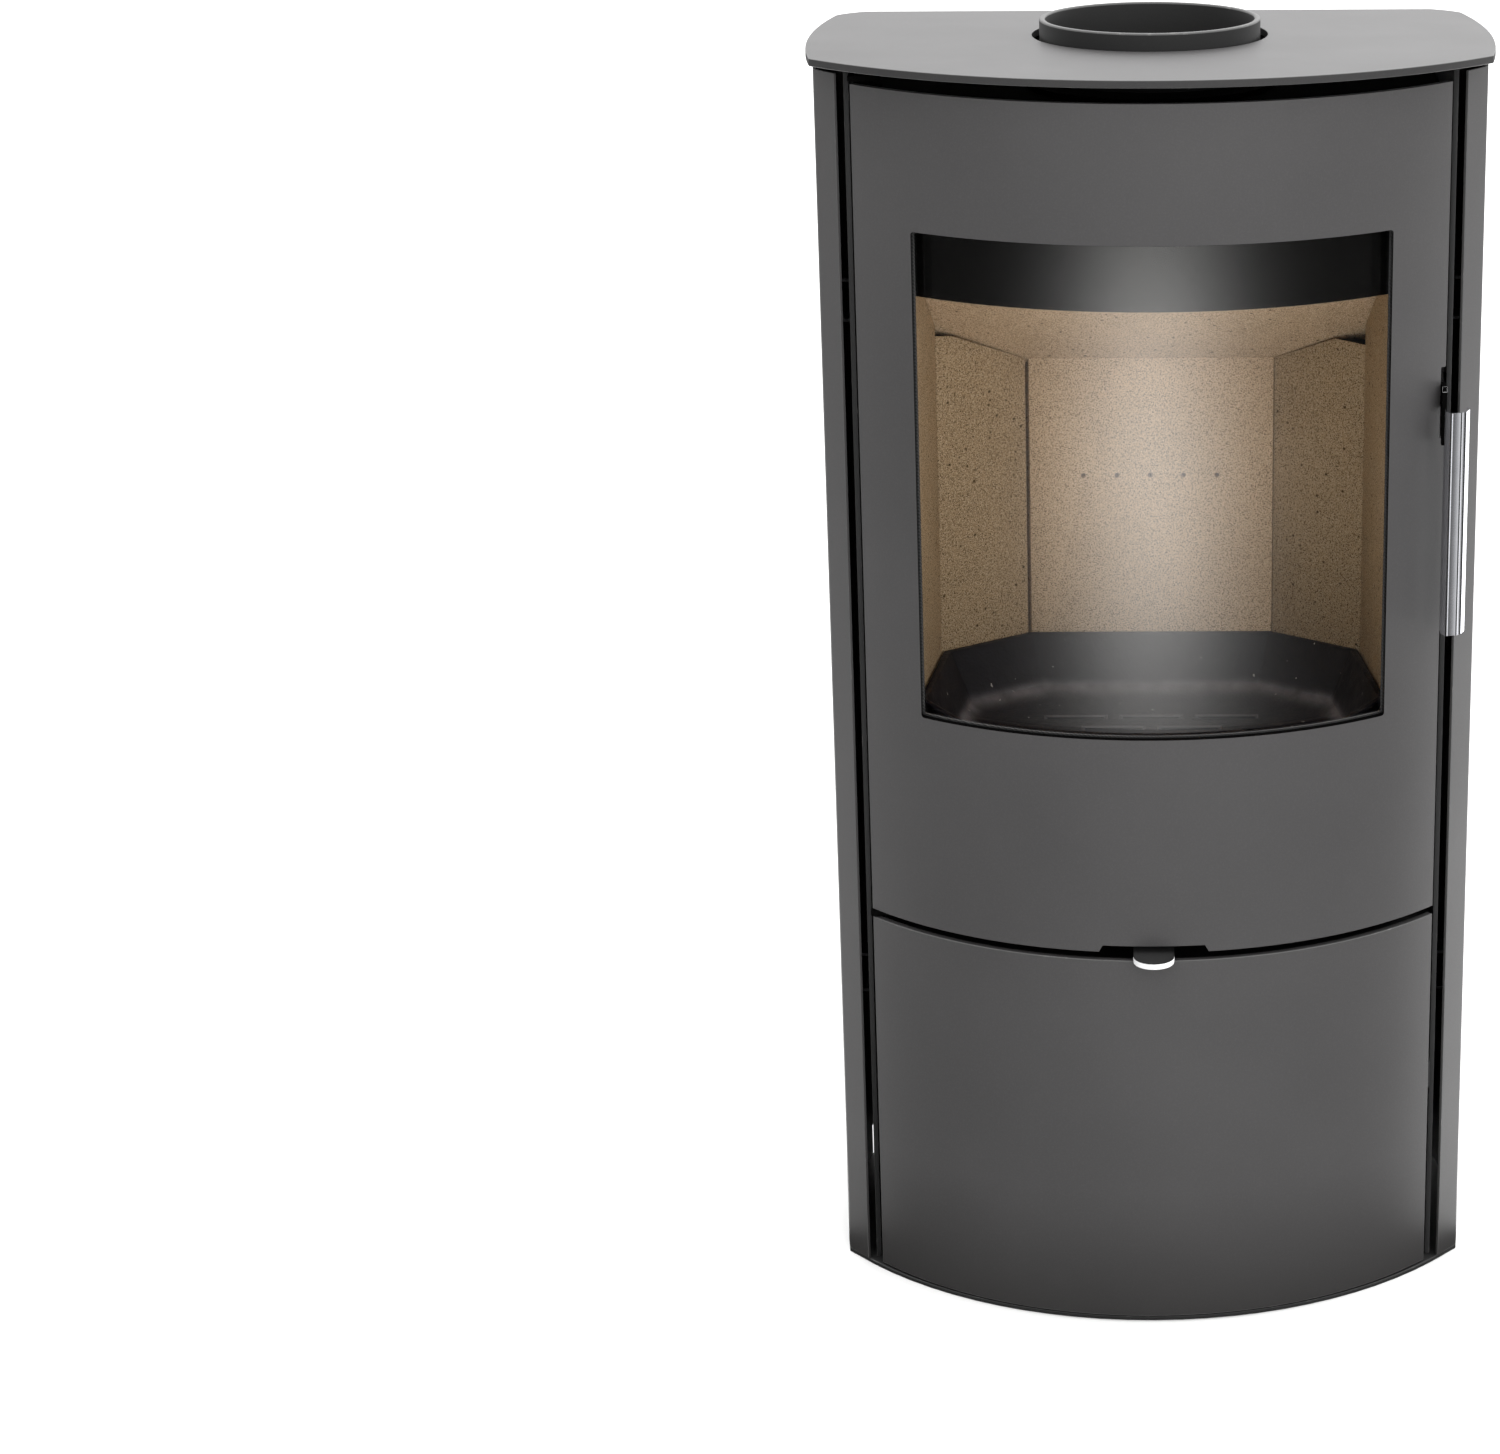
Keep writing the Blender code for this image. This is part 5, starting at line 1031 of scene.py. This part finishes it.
CARRIED = {
    "dark": (
        "firebox_floor", "ash_chamber_floor", "wood_store_ceiling", "rear_cover", "rear_spacer_lower",
        "rear_spacer_upper", "fire_door_frame", "glass_retainer_left", "glass_retainer_right",
        "store_door_stiffener_lower", "store_door_stiffener_upper", "store_door_striker",
    ),
    # Parts in the gaps and round the door opening are painted black as shade
    "shade_black": (
        "firebox_top", "front_frame", "fire_door_lug_top", "fire_door_lug_bottom", "store_door_lug_top",
        "store_door_lug_bottom", "handle_mount", "latch_catch", "hinge_pin_top",
    ),
    "steel": (
        "panel_bracket_left_lower", "panel_bracket_left_upper", "panel_bracket_right_lower",
        "panel_bracket_right_upper", "smoke_deflector", "deflector_rail_left", "deflector_rail_right",
        "ash_pan",
    ),
    "zinc": ("hinge_pin_middle", "hinge_pin_bottom", "lever_rivet"),
    "magnet": ("magnet_catch",),
    "rope": ("fire_door_rope_seal", "glass_gasket"),
}


def dress_carried(m):
    """Nodes whose shape is right keep it and take a finish."""
    for finish_name, names in CARRIED.items():
        for name in names:
            data = frame["nodes"][name].data
            data.materials.clear()
            data.materials.append(m[finish_name])


def make_stage():
    """Pale floor that gloss doesn't see, and under it a dark form that only gloss sees."""
    mesh = bmesh.new()
    corners = [
        (-FLOOR_HALF, -FLOOR_HALF),
        (FLOOR_HALF, -FLOOR_HALF),
        (FLOOR_HALF, FLOOR_HALF),
        (-FLOOR_HALF, FLOOR_HALF),
    ]
    mesh.faces.new([mesh.verts.new((x, y, FLOOR_TOP)) for x, y in corners])
    floor = link("studio_floor", mesh)
    floor.data.materials.append(studio_floor("pale_floor"))
    floor.visible_glossy = False
    shade = link("foot_shade", prism(foot_shade_outline(), "z", SHADE_LOW, SHADE_TOP))
    paint = stove_paint("foot_shade", (0.002, 0.002, 0.002), (0.004, 0.004, 0.004), 0.9)
    shade.data.materials.append(paint)
    shade.visible_camera = False
    shade.visible_diffuse = False
    shade.visible_transmission = False
    shade.visible_shadow = False


def foot_shade_outline():
    """A little wider than the stove and well past its front and back."""
    low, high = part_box("top_plate")
    left, right = low[0] - SHADE_SIDE, high[0] + SHADE_SIDE
    front, back = low[1] - SHADE_FRONT, high[1] + SHADE_FRONT
    return rounded([(left, front), (right, front), (right, back), (left, back)], SHADE_CORNER, 8)


def area_light(name, place, target, size, radiance):
    """Soft lamp that neither the camera nor gloss sees."""
    data = bpy.data.lights.new(name, "AREA")
    data.shape = "RECTANGLE"
    data.size, data.size_y = size
    data.energy = radiance * size[0] * size[1] * math.pi
    light = bpy.data.objects.new(name, data)
    light.location = place
    light.rotation_euler = (Vector(target) - Vector(place)).to_track_quat("-Z", "Y").to_euler()
    light.visible_camera = False
    light.visible_glossy = False
    bpy.context.scene.collection.objects.link(light)


def soft_patch(g, x, y, z, patch):
    """A bright patch low in front of the stove, fading out on all sides."""
    middle_x, width, middle_z, height, strength = patch
    across, up = g.hump(x, middle_x, width), g.hump(z, middle_z, height)
    return g.chain("MULTIPLY", across, up, g.spread(y, strength, 0.0, PATCH_FULL, 0.0))


def make_lights():
    """Soft room, bright above and behind; below, gloss sees it dark but for the patches and the flanks."""
    world = bpy.data.worlds.new("studio")
    g = Graph(world, "Background", "Generated")
    x, y, z = g.along("X"), g.along("Y"), g.along("Z")
    sky_right = g.math("MULTIPLY", g.spread(x, *SKY_RIGHT), g.spread(y, *SKY_RIGHT_BEHIND))
    sky = g.chain("ADD", g.spread(z, *SKY_UP), g.spread(x, *SKY_ACROSS), g.spread(y, *SKY_BEHIND), sky_right)
    flanks = g.math("MULTIPLY", g.spread(y, *FLANK_BEHIND), g.spread(x, *FLANK_ACROSS))
    flanks = g.math("MULTIPLY", flanks, g.spread(z, *FLANK_LOW))
    low_glow = soft_patch(g, x, y, z, LOW_GLOW)
    pane_glow = soft_patch(g, x, y, z, PANE_GLOW)
    ground = g.chain("ADD", low_glow, flanks, pane_glow, GROUND)
    above = g.math("MULTIPLY", g.spread(z, *HORIZON), g.math("SUBTRACT", sky, ground))
    g.set("Color", (1.0, 1.0, 1.0))
    g.set("Strength", g.math("ADD", above, ground))
    bpy.context.scene.world = world
    bpy.context.scene.view_settings.view_transform = "Standard"
    for lamp in LAMPS:
        area_light(*lamp)


def make_camera():
    """The photo's view: pitch is downwards, yaw to the right, and the frame is shifted sideways."""
    sin_pitch, cos_pitch = math.sin(CAMERA_PITCH), math.cos(CAMERA_PITCH)
    forward = Vector((math.sin(CAMERA_YAW) * cos_pitch, math.cos(CAMERA_YAW) * cos_pitch, -sin_pitch))
    right = Vector((math.cos(CAMERA_YAW), -math.sin(CAMERA_YAW), 0.0))
    up = right.cross(forward)
    rolled = right * math.cos(CAMERA_ROLL) + up * math.sin(CAMERA_ROLL)
    upright = up * math.cos(CAMERA_ROLL) - right * math.sin(CAMERA_ROLL)
    data = bpy.data.cameras.new("camera")
    data.lens = CAMERA_LENS
    data.sensor_width = CAMERA_SENSOR
    data.sensor_fit = "HORIZONTAL"
    data.shift_x = CAMERA_SHIFT
    camera = bpy.data.objects.new("camera", data)
    turn = Matrix((rolled, upright, -forward)).transposed()
    camera.matrix_world = Matrix.Translation(CAMERA_PLACE) @ turn.to_4x4()
    bpy.context.scene.collection.objects.link(camera)
    bpy.context.scene.camera = camera


def main():
    make_camera()
    m = make_materials()
    make_fire_door(m)
    make_store_door(m)
    make_top_plate(m)
    make_flue_collar(m)
    make_side_panels(m)
    make_body_sheets(m)
    make_firebox(m)
    make_glass(m)
    make_handle(m)
    make_air_lever(m)
    make_rear_screws(m)
    dress_carried(m)
    make_stage()
    make_lights()


main()
bpy.context.view_layer.update()
